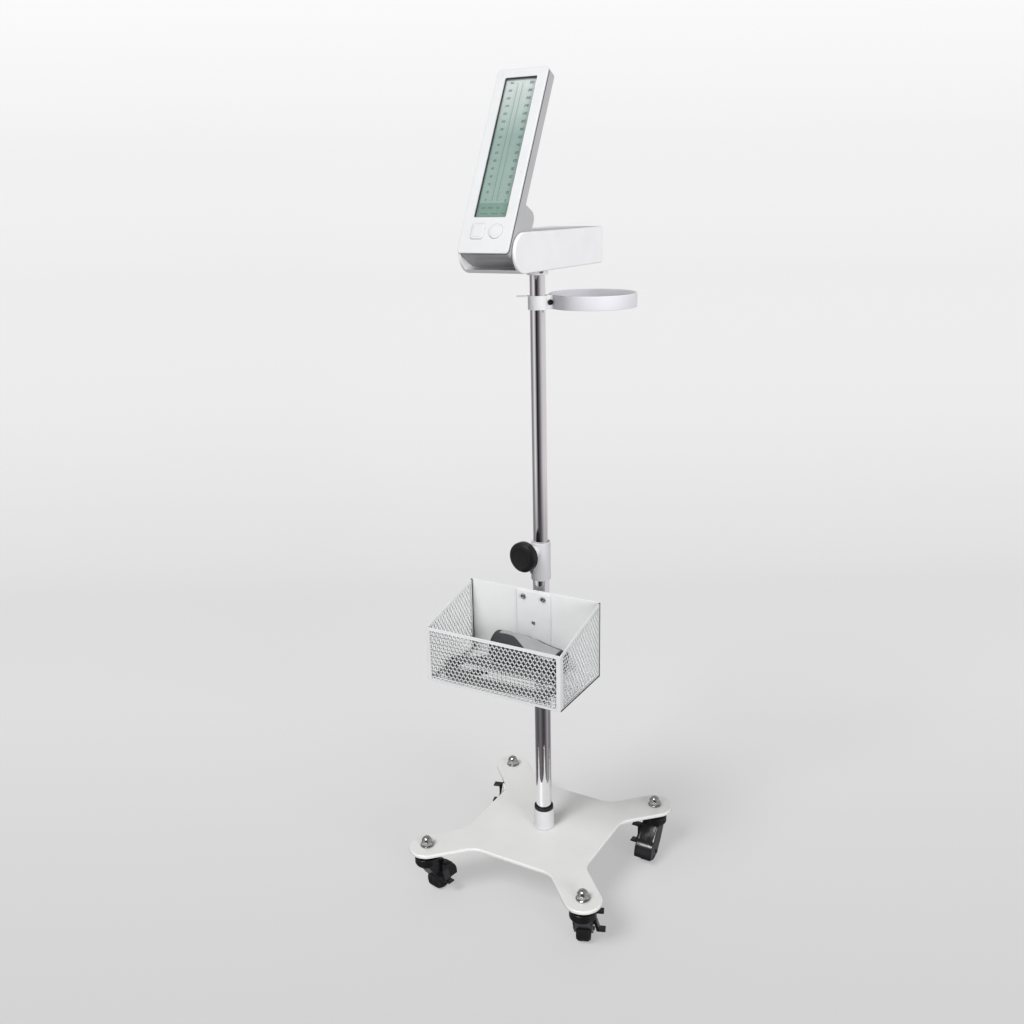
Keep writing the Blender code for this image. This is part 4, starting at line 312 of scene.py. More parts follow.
class Solid:
    """Surfaces gathered as arrays, which become one mesh."""

    def __init__(self) -> None:
        """Starts with no surface."""
        self.points: list[Array] = []
        self.corners: list[Array] = []
        self.sizes: list[Array] = []
        self.maps: list[Array] = []
        self.slots: list[Array] = []
        self.count = 0

    def faces(self, points: Array, index: Array, slot: int = 0, uv: Array | None = None) -> None:
        """Adds faces of one size.

        Args:
            points: Rows of three.
            index: Rows of corner numbers among those points.
            slot: Which of the piece's finishes they wear.
            uv: Rows of two, one for each corner of each face.
        """
        index = np.asarray(index)
        self.points.append(np.asarray(points, float))
        self.corners.append(index.ravel() + self.count)
        self.sizes.append(np.full(len(index), index.shape[1]))
        self.slots.append(np.full(len(index), slot))
        self.maps.append(np.zeros((index.size, 2)) if uv is None else uv)
        self.count += len(points)

    def grid(
        self,
        grid: Array,
        slot: int = 0,
        wrap: bool = True,
        wrap_rows: bool = False,
        caps: bool = False,
        uv: tuple[float, float] = (1.0, 1.0),
    ) -> None:
        """Adds a grid of points as quads, with its ends closed by flat faces where asked.

        Args:
            grid: Rows by columns by three.
            slot: Which finish it wears.
            wrap: Whether the last column joins the first.
            wrap_rows: Whether the last row joins the first.
            caps: Whether the first and last rows are filled.
            uv: How far the map runs over all columns and over all rows.
        """
        rows, columns = grid.shape[:2]
        high = rows if wrap_rows else rows - 1
        wide = columns if wrap else columns - 1
        i, j = (a.ravel() for a in np.meshgrid(np.arange(high), np.arange(wide), indexing="ij"))
        right, down = (j + 1) % columns, (i + 1) % rows
        index = np.stack([i * columns + j, i * columns + right, down * columns + right, down * columns + j], 1)
        across = np.stack([j, j + 1, j + 1, j], 1).ravel() * uv[0] / max(wide, 1)
        along = np.stack([i, i, i + 1, i + 1], 1).ravel() * uv[1] / max(high, 1)
        self.faces(grid.reshape(-1, 3), index, slot, np.column_stack([across, along]))
        if caps:
            self.faces(grid[0], np.arange(columns)[None, ::-1], slot)
            self.faces(grid[-1], np.arange(columns)[None], slot)

    def sheet(self, loops: list[Array], height: float, placing: Placing, slot: int = 0) -> None:
        """Adds a flat face with holes.

        Args:
            loops: The outer outline and then each hole's, as rows of two.
            height: The face's local height.
            placing: Carries it to the frame.
            slot: Which finish it wears.
        """
        flat = [[Vector((x, y, 0.0)) for x, y in loop] for loop in loops]
        index = np.array(tessellate_polygon(flat))
        self.faces(placing.put(lifted(np.concatenate(loops), height)), index, slot)

    def slab(
        self,
        outline: Array,
        low: float,
        high: float,
        placing: Placing,
        edge: float = 0.0,
        slot: int = 0,
        holes: tuple[Array, ...] = (),
        hole_edge: float = 0.0002,
    ) -> None:
        """Adds an outline as a solid with rolled edges, and straight holes with small rolled mouths.

        Args:
            outline: Counterclockwise rows of two.
            low: Its lower height.
            high: Its upper height.
            placing: Carries it to the frame.
            edge: Radius of both edges.
            slot: Which finish it wears.
            holes: Counterclockwise outlines.
            hole_edge: Radius of the holes' mouths.
        """
        rings = rolled_rings(outline, low, high, edge, edge)
        self.grid(placing.put(rings), slot)
        mouths = []
        for hole in holes:
            wide = rolled_rings(hole, low, high, -hole_edge, -hole_edge, 2)
            wide[:, :, 2] = np.clip(2 * np.clip(wide[:, :, 2], low, high) - wide[:, :, 2], low, high)
            mouths.append(wide)
            self.grid(placing.put(wide), slot)
        self.sheet([rings[0, :, :2], *(m[0, :, :2] for m in mouths)], low, placing, slot)
        self.sheet([rings[-1, :, :2], *(m[-1, :, :2] for m in mouths)], high, placing, slot)

    def turn(self, profile: Array, placing: Placing, slot: int = 0, steps: int = 72, ring: bool = False) -> None:
        """Adds a surface of revolution about local Z.

        Args:
            profile: Rows of radius and height, from pole to pole, or a ring's closed section.
            placing: Carries it to the frame.
            slot: Which finish it wears.
            steps: Columns round the axis.
            ring: Whether the profile is a closed section.
        """
        self.grid(placing.put(turned(profile, steps)), slot, wrap_rows=ring)

    def build(self, name: str, finishes: list[Finish], sharp: float = 32.0) -> bpy.types.Object:
        """Writes the arrays to a mesh, merges its doubles and turns its faces outwards.

        Args:
            name: The piece's name.
            finishes: What it wears, in the order of the slots.
            sharp: Edges over this angle stay sharp, in degrees.

        Returns:
            The piece, at the origin.
        """
        mesh = bpy.data.meshes.new(name)
        points = np.concatenate(self.points)
        corners = np.concatenate(self.corners)
        sizes = np.concatenate(self.sizes)
        mesh.vertices.add(len(points))
        mesh.vertices.foreach_set("co", points.ravel())
        mesh.loops.add(len(corners))
        mesh.loops.foreach_set("vertex_index", corners)
        mesh.polygons.add(len(sizes))
        mesh.polygons.foreach_set("loop_start", np.cumsum(sizes) - sizes)
        mesh.polygons.foreach_set("material_index", np.concatenate(self.slots))
        mesh.update(calc_edges=True)
        mesh.uv_layers.new(name="weave").data.foreach_set("uv", np.concatenate(self.maps).ravel())
        tidy_mesh(mesh, sharp)
        for finish in finishes:
            mesh.materials.append(finish.material())
        piece = bpy.data.objects.new(name, mesh)
        bpy.context.scene.collection.objects.link(piece)
        return piece


def tidy_mesh(mesh: bpy.types.Mesh, sharp: float) -> None:
    """Merges doubles, turns faces outwards and shades the mesh smooth with its corners kept.

    Args:
        mesh: The mesh to change.
        sharp: Edges over this angle stay sharp, in degrees.
    """
    builder = bmesh.new()
    builder.from_mesh(mesh)
    bmesh.ops.remove_doubles(builder, verts=builder.verts, dist=MERGE)
    bmesh.ops.dissolve_degenerate(builder, edges=builder.edges, dist=MERGE / 10)
    bmesh.ops.recalc_face_normals(builder, faces=builder.faces)
    builder.to_mesh(mesh)
    builder.free()
    mesh.shade_smooth()
    mesh.set_sharp_from_angle(angle=math.radians(sharp))


def refined(node: str, edge: float, finish: Finish) -> bpy.types.Object:
    """A CAD piece with its triangles merged back into flat faces and its edges rounded.

    Args:
        node: The CAD node.
        edge: The rounding's radius.
        finish: What the copy wears.

    Returns:
        The copy, at the origin.
    """
    source = bpy.data.objects[node]
    mesh = source.data.copy()
    mesh.name = f"{node}_look"
    builder = bmesh.new()
    builder.from_mesh(mesh)
    bmesh.ops.remove_doubles(builder, verts=builder.verts, dist=MERGE)
    bmesh.ops.dissolve_limit(
        builder, angle_limit=math.radians(1.0), verts=builder.verts, edges=builder.edges
    )
    bmesh.ops.recalc_face_normals(builder, faces=builder.faces)
    builder.to_mesh(mesh)
    builder.free()
    mesh.materials.clear()
    mesh.materials.append(finish.material())
    mesh.shade_smooth()
    mesh.set_sharp_from_angle(angle=math.radians(32))
    piece = bpy.data.objects.new(f"{node}_look", mesh)
    piece.matrix_world = source.matrix_world.copy()
    bpy.context.scene.collection.objects.link(piece)
    rounding = piece.modifiers.new("Edges", "BEVEL")
    rounding.width = edge
    rounding.segments = 3
    rounding.limit_method = "ANGLE"
    rounding.angle_limit = math.radians(32)
    rounding.use_clamp_overlap = True
    rounding.harden_normals = False
    return piece


def wear(piece: bpy.types.Object, body: str, slot: str, *nodes: str) -> bpy.types.Object:
    """Lets a piece ride on a body in place of CAD nodes.

    Args:
        piece: The finished piece.
        body: The CAD body that it moves with.
        slot: The record's material slot; not used.
        nodes: The CAD nodes that it stands for.

    Returns:
        The piece.
    """
    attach(piece, body)
    if nodes:
        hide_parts(*nodes)
    LOG.info("%s on %s, %d faces", piece.name, body, len(getattr(piece.data, "polygons", ())))
    return piece


class Graph:
    """A material's or the world's nodes, made and joined in one line each."""

    def __init__(self, tree: bpy.types.NodeTree) -> None:
        """Empties the tree."""
        self.tree = tree
        tree.nodes.clear()

    def add(self, kind: str, links: dict[str, object] | None = None, **values: object) -> bpy.types.Node:
        """Adds a node.

        Args:
            kind: The node's type.
            links: For each input's name or number, the socket that feeds it or its value.
            values: Properties of the node.

        Returns:
            The node.
        """
        node = self.tree.nodes.new(kind)
        for key, value in values.items():
            setattr(node, key, value)
        for key, value in (links or {}).items():
            if isinstance(value, bpy.types.NodeSocket):
                self.tree.links.new(value, node.inputs[key])
            else:
                node.inputs[key].default_value = value
        return node

    def noise(self, place: bpy.types.NodeSocket, scale: float, detail: float = 3.0) -> bpy.types.NodeSocket:
        """A noise texture's value at a place."""
        return self.add("ShaderNodeTexNoise", {"Vector": place, "Scale": scale, "Detail": detail}).outputs[0]

    def spread(
        self, value: bpy.types.NodeSocket, low: float, high: float, start: float = 0.3, end: float = 0.7
    ) -> bpy.types.NodeSocket:
        """Carries a value from one range to another."""
        feed = {"Value": value, "From Min": start, "From Max": end, "To Min": low, "To Max": high}
        return self.add("ShaderNodeMapRange", feed).outputs[0]

    def mixed(
        self, share: bpy.types.NodeSocket | float, first: object, second: object, kind: str = "MIX"
    ) -> bpy.types.NodeSocket:
        """A colour between two, or two blended as the kind says."""
        return self.add(
            "ShaderNodeMixRGB", {"Fac": share, "Color1": first, "Color2": second}, blend_type=kind
        ).outputs[0]


def opaque(colour: Colour) -> tuple[float, float, float, float]:
    """A colour with full alpha."""
    return (*colour, 1.0)


@dataclass(frozen=True)
class Finish:
    """A finish: its colour wanders a little, and its grain and its gloss come from noise."""

    name: str
    colour: Colour
    roughness: float = 0.4
    metallic: float = 0.0
    wander: float = 0.05
    wander_scale: float = 22.0
    gloss_spread: float = 0.06
    grain: float = 0.00002
    grain_scale: float = 2400.0
    coat: float = 0.0
    sheen: float = 0.0
    specular: float = 0.5

    def material(self) -> bpy.types.Material:
        """The finish's material, made the first time it is asked for."""
        found = bpy.data.materials.get(self.name)
        if found:
            return found
        made = bpy.data.materials.new(self.name)
        made.use_nodes = True
        made.diffuse_color = opaque(self.colour)
        graph = Graph(made.node_tree)
        place = graph.add("ShaderNodeTexCoord").outputs["Object"]
        shader = self.shade(graph, place)
        graph.add("ShaderNodeOutputMaterial", {"Surface": shader.outputs[0]})
        return made

    def tint(self, graph: Graph, place: bpy.types.NodeSocket) -> bpy.types.NodeSocket:
        """The colour, between a darker and a lighter shade of itself by large noise."""
        share = graph.spread(graph.noise(place, self.wander_scale), 0.0, 1.0)
        dark = opaque(tuple(c * (1 - self.wander) for c in self.colour))
        light = opaque(tuple(min(1.0, c * (1 + self.wander)) for c in self.colour))
        return graph.mixed(share, dark, light)

    def relief(self, graph: Graph, place: bpy.types.NodeSocket) -> bpy.types.NodeSocket:
        """The grain's normal: fine noise as a bump of the grain's depth."""
        height = graph.noise(place, self.grain_scale, 2.0)
        feed = {"Height": height, "Distance": self.grain, "Strength": 1.0}
        return graph.add("ShaderNodeBump", feed).outputs[0]

    def gloss(self, graph: Graph, place: bpy.types.NodeSocket) -> bpy.types.NodeSocket:
        """The roughness, wandering with wear."""
        wear_noise = graph.noise(place, self.wander_scale * 2.7, 5.0)
        low, high = self.roughness - self.gloss_spread, self.roughness + self.gloss_spread
        return graph.spread(wear_noise, max(0.02, low), min(1.0, high))

    def shade(self, graph: Graph, place: bpy.types.NodeSocket) -> bpy.types.Node:
        """The shader node with its colour, gloss and relief."""
        feed = {
            "Base Color": self.tint(graph, place),
            "Roughness": self.gloss(graph, place),
            "Normal": self.relief(graph, place),
            "Metallic": self.metallic,
            "Coat Weight": self.coat,
            "Coat Roughness": 0.08,
            "Sheen Weight": self.sheen,
            "Specular IOR Level": self.specular,
        }
        return graph.add("ShaderNodeBsdfPrincipled", feed)


@dataclass(frozen=True)
class PowderCoat(Finish):
    """Powder coat: a fine orange peel of two sizes."""

    peel: float = 0.00006
    peel_scale: float = 520.0

    def relief(self, graph: Graph, place: bpy.types.NodeSocket) -> bpy.types.NodeSocket:
        """The peel's soft waves with the grain laid over them."""
        waves = {"Height": graph.noise(place, self.peel_scale, 1.0), "Distance": self.peel, "Strength": 0.8}
        base = graph.add("ShaderNodeBump", waves).outputs[0]
        fine = {"Height": graph.noise(place, self.grain_scale, 2.0), "Distance": self.grain, "Normal": base}
        return graph.add("ShaderNodeBump", fine).outputs[0]


@dataclass(frozen=True)
class Plated(Finish):
    """Plated metal: nearly a mirror, with long faint drawing lines and smudges."""

    stretch: float = 0.02

    def relief(self, graph: Graph, place: bpy.types.NodeSocket) -> bpy.types.NodeSocket:
        """Lines along Z: noise whose height coordinate is pressed together."""
        pressed = graph.add("ShaderNodeMapping", {"Vector": place, "Scale": (1.0, 1.0, self.stretch)})
        height = graph.noise(pressed.outputs[0], self.grain_scale, 2.0)
        return graph.add("ShaderNodeBump", {"Height": height, "Distance": self.grain}).outputs[0]


@dataclass(frozen=True)
class Cloth(Finish):
    """Woven cloth: two crossed sets of threads by the piece's own map, with lint over them."""

    threads: float = 260.0

    def weave(self, graph: Graph) -> bpy.types.NodeSocket:
        """The threads' height: a checker of two waves, one along the map and one across."""
        place = graph.add("ShaderNodeUVMap", uv_map="weave").outputs[0]
        waves = [
            graph.add(
                "ShaderNodeTexWave",
                {"Vector": place, "Scale": self.threads, "Distortion": 0.6, "Detail": 1.0},
                bands_direction=axis,
            ).outputs[1]
            for axis in ("X", "Y")
        ]
        return graph.add("ShaderNodeMath", {0: waves[0], 1: waves[1]}, operation="MAXIMUM").outputs[0]

    def tint(self, graph: Graph, place: bpy.types.NodeSocket) -> bpy.types.NodeSocket:
        """The cloth's wandering colour, with painted shade between the threads."""
        body = super().tint(graph, place)
        # Painted shade: up to 45 percent towards black where the threads dip.
        return graph.mixed(graph.spread(self.weave(graph), 0.45, 0.0, 0.0, 1.0), body, (0.0, 0.0, 0.0, 1.0))

    def relief(self, graph: Graph, place: bpy.types.NodeSocket) -> bpy.types.NodeSocket:
        """Threads over soft creases."""
        creases = {"Height": graph.noise(place, 70.0, 3.0), "Distance": 0.0012, "Strength": 0.7}
        base = graph.add("ShaderNodeBump", creases).outputs[0]
        feed = {"Height": self.weave(graph), "Distance": self.grain, "Normal": base, "Strength": 0.9}
        return graph.add("ShaderNodeBump", feed).outputs[0]


@dataclass(frozen=True)
class Pile(Finish):
    """Hook-and-loop pile: coarse cells with deep gaps, dull all over."""

    def relief(self, graph: Graph, place: bpy.types.NodeSocket) -> bpy.types.NodeSocket:
        """Cells of a Voronoi texture as a bump."""
        cells = graph.add("ShaderNodeTexVoronoi", {"Vector": place, "Scale": self.grain_scale}).outputs[0]
        return graph.add("ShaderNodeBump", {"Height": cells, "Distance": self.grain}).outputs[0]


@dataclass(frozen=True)
class Crystal(Finish):
    """The liquid-crystal panel: green at its foot, pale towards its top, a little cloudy."""

    pale: Colour = (0.57, 0.615, 0.60)
    foot: float = 1.47
    head: float = 1.555

    def tint(self, graph: Graph, place: bpy.types.NodeSocket) -> bpy.types.NodeSocket:
        """A mix of green and pale by height, with the finish's own wandering."""
        tall = graph.add("ShaderNodeSeparateXYZ", {"Vector": place}).outputs["Z"]
        share = graph.spread(tall, 0.0, 1.0, self.foot, self.head)
        return graph.mixed(share, super().tint(graph, place), opaque(self.pale))


@dataclass(frozen=True)
class Clear(Finish):
    """Clear plastic: mostly see-through, with its reflections kept and faint smears."""

    cover: float = 0.07

    def shade(self, graph: Graph, place: bpy.types.NodeSocket) -> bpy.types.Node:
        """The usual shader at a low alpha."""
        shader = super().shade(graph, place)
        smears = graph.noise(place, 45.0, 4.0)
        graph.tree.links.new(graph.spread(smears, self.cover * 0.8, self.cover * 1.2), shader.inputs["Alpha"])
        return shader


WHITE_COAT = PowderCoat("white_powder_coat", (0.655, 0.655, 0.645), 0.36, wander=0.02)
HOOP_COAT = PowderCoat("pale_powder_coat", (0.65, 0.645, 0.68), 0.34, wander=0.02)
NET_COAT = PowderCoat("net_powder_coat", (0.62, 0.625, 0.63), 0.42, wander=0.02)
# A darker copy of the white powder coat, for painted shade on the socket and the mast collar.
SHADED_WHITE_COAT = PowderCoat("white_coat_painted_shade", (0.535, 0.53, 0.54), 0.36, wander=0.02)
# A lighter copy of the white powder coat, for painted light on the bracket plate.
LIT_BRACKET_COAT = PowderCoat("lit_bracket_white_coat", (0.675, 0.685, 0.695), 0.4, wander=0.02)
BACK_COAT = PowderCoat("back_powder_coat", (0.695, 0.70, 0.70), 0.42, wander=0.02)
# Near-black, for the strips of painted shade along the basket's side panels' back and bottom edges.
EDGE_SHADE_PAINT = Finish("basket_painted_edge_shade", (0.035, 0.035, 0.037), 0.5, wander=0.2, specular=0.3)
WHITE_PLASTIC = Finish("moulded_white", (0.575, 0.58, 0.585), 0.33, wander=0.015, grain=0.000012)
# A lighter copy of the moulded white, for painted light on the cradle, its cover and the hoop's collar.
LIT_WHITE_PLASTIC = Finish("moulded_white_painted_light", (0.80, 0.80, 0.815), 0.38, wander=0.02, grain=0.00002)
GREY_PLASTIC = Finish("moulded_grey", (0.44, 0.44, 0.45), 0.45, wander=0.03, grain=0.00003, grain_scale=1500.0)
BLACK_PLASTIC = Finish("glossy_black", (0.008, 0.008, 0.009), 0.17, wander=0.2, gloss_spread=0.05, grain=0.00001)
DULL_BLACK = Finish("dull_black", (0.012, 0.012, 0.013), 0.45, wander=0.2)
KNOB_BLACK = Finish("knob_black", (0.009, 0.009, 0.009), 0.32, wander=0.2, specular=0.3)
RUBBER = Finish("tread_rubber", (0.010, 0.010, 0.011), 0.5, wander=0.25, grain=0.00004, grain_scale=900.0, specular=0.3)
CHROME = Plated("bright_chrome", (0.93, 0.92, 0.93), 0.07, 1.0, wander=0.02, gloss_spread=0.02, grain=0.0000004)
NUT_CHROME = Plated("nut_chrome", (0.45, 0.45, 0.44), 0.11, 1.0, wander=0.05, gloss_spread=0.03, grain=0.000002)
STEEL = Finish("zinc_steel", (0.36, 0.36, 0.37), 0.30, 1.0, wander=0.08, grain=0.00001)
WINDOW = Clear("window_plastic", (0.30, 0.36, 0.34), 0.05, gloss_spread=0.02, grain=0.000002, specular=0.4)
CRYSTAL = Crystal("crystal_green", (0.25, 0.345, 0.312), 0.45, wander=0.03, grain=0.000004, specular=0.1)
INK = Finish("crystal_ink", (0.045, 0.085, 0.07), 0.4, wander=0.2, specular=0.2)
FAINT_INK = Finish("crystal_faint_ink", (0.10, 0.17, 0.14), 0.4, wander=0.1, specular=0.2)
CELL_BLOCK = Finish("crystal_lower_block", (0.148, 0.252, 0.208), 0.35, wander=0.04, specular=0.2)
SEAL = Finish("window_seal", (0.03, 0.035, 0.035), 0.55, wander=0.2)
BOARD = Finish("circuit_green", (0.02, 0.14, 0.06), 0.42, wander=0.25, wander_scale=260.0)
CHIP = Finish("chip_black", (0.02, 0.02, 0.022), 0.5, wander=0.2)
CUFF_CLOTH = Cloth("woven_nylon", (0.035, 0.037, 0.042), 0.88, wander=0.15, sheen=0.15, grain=0.00012)
BINDING = Cloth("cuff_binding", (0.02, 0.021, 0.024), 0.8, wander=0.1, sheen=0.1, grain=0.00012)
LOOP_PILE = Pile("cuff_loop_pile", (0.33, 0.335, 0.34), 0.92, wander=0.08, sheen=0.2, grain=0.0003)
HOSE_SKIN = Finish("hose_skin", (0.085, 0.088, 0.092), 0.36, wander=0.08, grain=0.00003)


@dataclass
class Frame:
    """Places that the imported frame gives: each caster's, the head's axes and the mast's clamp."""

    joints: dict[str, dict]

    def spot(self, joint: str) -> Array:
        """Where a joint is."""
        return np.array(self.joints[joint]["pos_m"], float)

    def axis(self, joint: str) -> Array:
        """The way a joint's axis points, at length one."""
        way = np.array(self.joints[joint]["axis"], float)
        return way / np.linalg.norm(way)


def middle_of(node: str) -> Array:
    """The middle of a CAD node's box."""
    low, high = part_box(node)
    return (np.array(low) + np.array(high)) / 2


def reach_of(node: str) -> tuple[Array, Array]:
    """A CAD node's lowest and highest corners, as arrays."""
    low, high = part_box(node)
    return np.array(low), np.array(high)


def pin_profile(shank_radius: float, shank: float, radius: float, head: float, socket: float) -> Array:
    """A screw from its socket's floor over its crowned head and down its shank, about local Z.

    Args:
        shank_radius: The shank's radius.
        shank: How far it runs down from the head's underside.
        radius: The head's radius.
        head: The head's height.
        socket: Radius of the round socket in the head.

    Returns:
        Rows of radius and height, with softened corners.
    """
    line = [
        (0.0, head * 0.45),
        (socket, head * 0.45),
        (socket, head),
        (radius * 0.8, head),
        (radius, head * 0.6),
        (radius, 0.0),
        (shank_radius, 0.0),
        (shank_radius, -shank),
        (0.0, -shank),
    ]
    return softened(np.array(line), head * 0.22, 3)


@dataclass
class BasePlate:
    """The powder-coated plate with its four lobes, concave necks and stem holes."""

    nut_offset: float = 0.176
    lobe_radius: float = 0.037
    edge_offset: float = 0.1385
    neck_fillet: float = 0.043
    hole_radius: float = 0.0061
    edge: float = 0.0022

    def outline(self) -> Array:
        """The plate's outline: one quarter from its right edge to its back edge, turned four times.

        A quarter is a neck of 45 degrees, half the lobe's circle, and the neck mirrored.
        """
        side = self.lobe_radius * math.sqrt(2)
        start = self.edge_offset - side - self.neck_fillet * math.tan(math.radians(22.5))
        neck = arc((self.edge_offset + self.neck_fillet, start), self.neck_fillet, 180, 135, 12)[:-1]
        lobe = arc((self.nut_offset, self.nut_offset), self.lobe_radius, -45, 135, 40)
        quarter = np.concatenate([neck, lobe, neck[::-1, ::-1]])
        turns = [(1, 0), (0, 1), (-1, 0), (0, -1)]
        return np.concatenate([quarter @ np.array([[c, s], [-s, c]]) for c, s in turns])

    def build(self) -> bpy.types.Object:
        """The plate between the CAD plate's faces."""
        low, high = reach_of("base_plate")
        places = [(x * self.nut_offset, y * self.nut_offset) for x in (-1, 1) for y in (-1, 1)]
        holes = tuple(circle(place, self.hole_radius, 36) for place in places)
        solid = Solid()
        flat = Placing(np.zeros(3))
        solid.slab(self.outline(), low[2], high[2], flat, self.edge, holes=holes, hole_edge=0.0004)
        return wear(solid.build("base_plate_look", [WHITE_COAT]), "base", "white_coat", "base_plate")


@dataclass
class Caster:
    """One caster: drum, hood, legs, wheel, pedal, stem, dust cap and dome nut."""

    corner: Corner
    frame: Frame
    trail: float = 0.032
    wheel_radius: float = 0.025
    wheel_width: float = 0.028
    slot_half: float = 0.0149
    leg: float = 0.0042
    hood: float = 0.0055
    room: float = 0.0276
    drum_low: float = 0.0759
    drum_high: float = 0.0939
    drum_radius: float = 0.0262
    edge: float = 0.0016

    def axes(self) -> Placing:
        """The caster's own placing: X runs along the trail and Z up through the stem."""
        swivel = self.frame.spot(f"swivel_{self.corner.value}")
        wheel = self.frame.spot(f"roll_{self.corner.value}")
        way = (wheel - swivel)[:2]
        way = way / np.linalg.norm(way)
        columns = np.array([[way[0], -way[1], 0.0], [way[1], way[0], 0.0], [0.0, 0.0, 1.0]])
        return Placing(np.array([swivel[0], swivel[1], 0.0]), columns)

    def beside(self, x: float = 0.0, y: float = 0.0, z: float = 0.0) -> Placing:
        """A placing for shapes drawn in the caster's side view: local Y is up, local Z looks to its right."""
        own = self.axes()
        turn = np.array([[1.0, 0.0, 0.0], [0.0, 0.0, -1.0], [0.0, 1.0, 0.0]])
        return Placing(own.put(np.array([x, y, z])), own.axes @ turn)

    def hood_outer(self) -> Array:
        """The hood's and legs' side view: neck, round hood, feet and the waist behind the wheel."""
        axle = (self.trail, self.wheel_radius)
        outer = self.room + self.hood
        shoulder = self.drum_low + 0.003
        neck = [(-0.62 * self.drum_radius, shoulder), (0.93 * self.drum_radius, shoulder)]
        waist = [(self.trail - outer * 0.72, self.wheel_radius + outer * 0.42)]
        parts = [neck, arc(axle, outer, 62, -8, 26), arc(axle, 0.0095, -30, -150, 14), waist]
        line = np.concatenate([np.array(p, float) for p in parts])[::-1]
        return softened(line, 0.004, 4, closed=True)

    def hood_middle(self) -> Array:
        """The hood's side view between its legs: what lies outside the wheel's round room."""
        axle = (self.trail, self.wheel_radius)
        shoulder = self.drum_low + 0.003
        neck = [(-0.62 * self.drum_radius, shoulder), (0.93 * self.drum_radius, shoulder)]
        parts = [neck, arc(axle, self.room + self.hood, 62, -8, 26), arc(axle, self.room, -8, 149.7, 34)]
        return np.concatenate([np.array(p, float) for p in parts])[::-1]

    def build_fork(self) -> bpy.types.Object:
        """Drum, hood, legs, riveted axle, pedal lugs and pin as one moulding."""
        solid = Solid()
        side = self.beside()
        for way in (-1, 1):
            inner, outer = self.slot_half, self.slot_half + self.leg
            low, high = (inner, outer) if way > 0 else (-outer, -inner)
            rolls = (0.0003, self.edge) if way > 0 else (self.edge, 0.0003)
            rings = rolled_rings(self.hood_outer(), low, high, *rolls, 5)
            solid.grid(side.put(rings), caps=True)
        rings = rolled_rings(self.hood_middle(), -self.slot_half, self.slot_half)
        solid.grid(side.put(rings), caps=True)
        drum = softened(
            np.array(
                [
                    (0.0, self.drum_low),
                    (self.drum_radius - 0.0016, self.drum_low),
                    (self.drum_radius, self.drum_low + 0.003),
                    (self.drum_radius, self.drum_high),
                    (0.0075, self.drum_high),
                    (0.0, self.drum_high),
                ]
            ),
            0.0018,
            5,
        )
        solid.turn(drum, self.axes())
        half = self.slot_half + self.leg + 0.0022
        line = [(0.0, -half), (0.004, -half), (0.004, half), (0.0, half)]
        axle = softened(np.array(line), 0.0018, 5)
        solid.turn(axle, self.beside(self.trail, 0.0, self.wheel_radius), steps=32)
        self.add_lugs(solid)
        name = f"caster_fork_{self.corner.value}"
        return wear(solid.build(f"{name}_look", [BLACK_PLASTIC]), f"fork_{self.corner.value}", "black_plastic", name)

    def add_lugs(self, solid: Solid) -> None:
        """Adds the two lugs that carry the pedal, and its pin."""
        pivot = self.axes().axes.T @ (self.frame.spot(f"brake_{self.corner.value}") - self.axes().origin)
        for way in (-1, 1):
            x = pivot[0] + way * (0.008 + 0.0003 + 0.0011)
            lug = round_box(0.0022, 0.0068, 0.0008, (x, pivot[2]), 4)
            base = self.slot_half + self.leg
            rings = rolled_rings(lug, base - 0.001, -pivot[1] + 0.0017, 0.0, 0.0008)
            solid.grid(self.beside().put(rings), caps=True)
        half = 0.008 + 0.0003 + 0.0022
        line = [(0.0, -half), (0.0015, -half), (0.0015, half), (0.0, half)]
        own = self.axes()
        place = Placing(own.put(pivot), own.axes @ np.array([[0.0, 0.0, 1.0], [1.0, 0.0, 0.0], [0.0, 1.0, 0.0]]))
        solid.turn(softened(np.array(line), 0.0004, 2), place, steps=24)

    def build_wheel(self) -> bpy.types.Object:
        """Tyre with round shoulders and two thin grooves, recessed sides, a rim ring and a hub."""
        half, radius = self.wheel_width / 2, self.wheel_radius
        side = [
            (radius - 0.0005, 0.0),
            (radius - 0.0005, 0.0004),
            (radius, 0.0008),
            (radius, half * 0.66),
            (radius * 0.86, half),
            (radius * 0.70, half),
            (radius * 0.68, half * 0.90),
            (radius * 0.60, half * 0.90),
            (radius * 0.58, half * 0.80),
            (0.0078, half * 0.80),
            (0.0070, half * 0.92),
            (0.0042, half * 0.92),
        ]
        upper = np.array(side)
        section = np.concatenate([upper * (1, -1), upper[::-1]])[1:-1]
        section = softened(section, 0.0014, 4, closed=True)
        solid = Solid()
        solid.turn(section, self.beside(self.trail, 0.0, self.wheel_radius), steps=96, ring=True)
        name = f"caster_wheel_{self.corner.value}"
        return wear(solid.build(f"{name}_look", [RUBBER]), f"wheel_{self.corner.value}", "black_rubber", name)

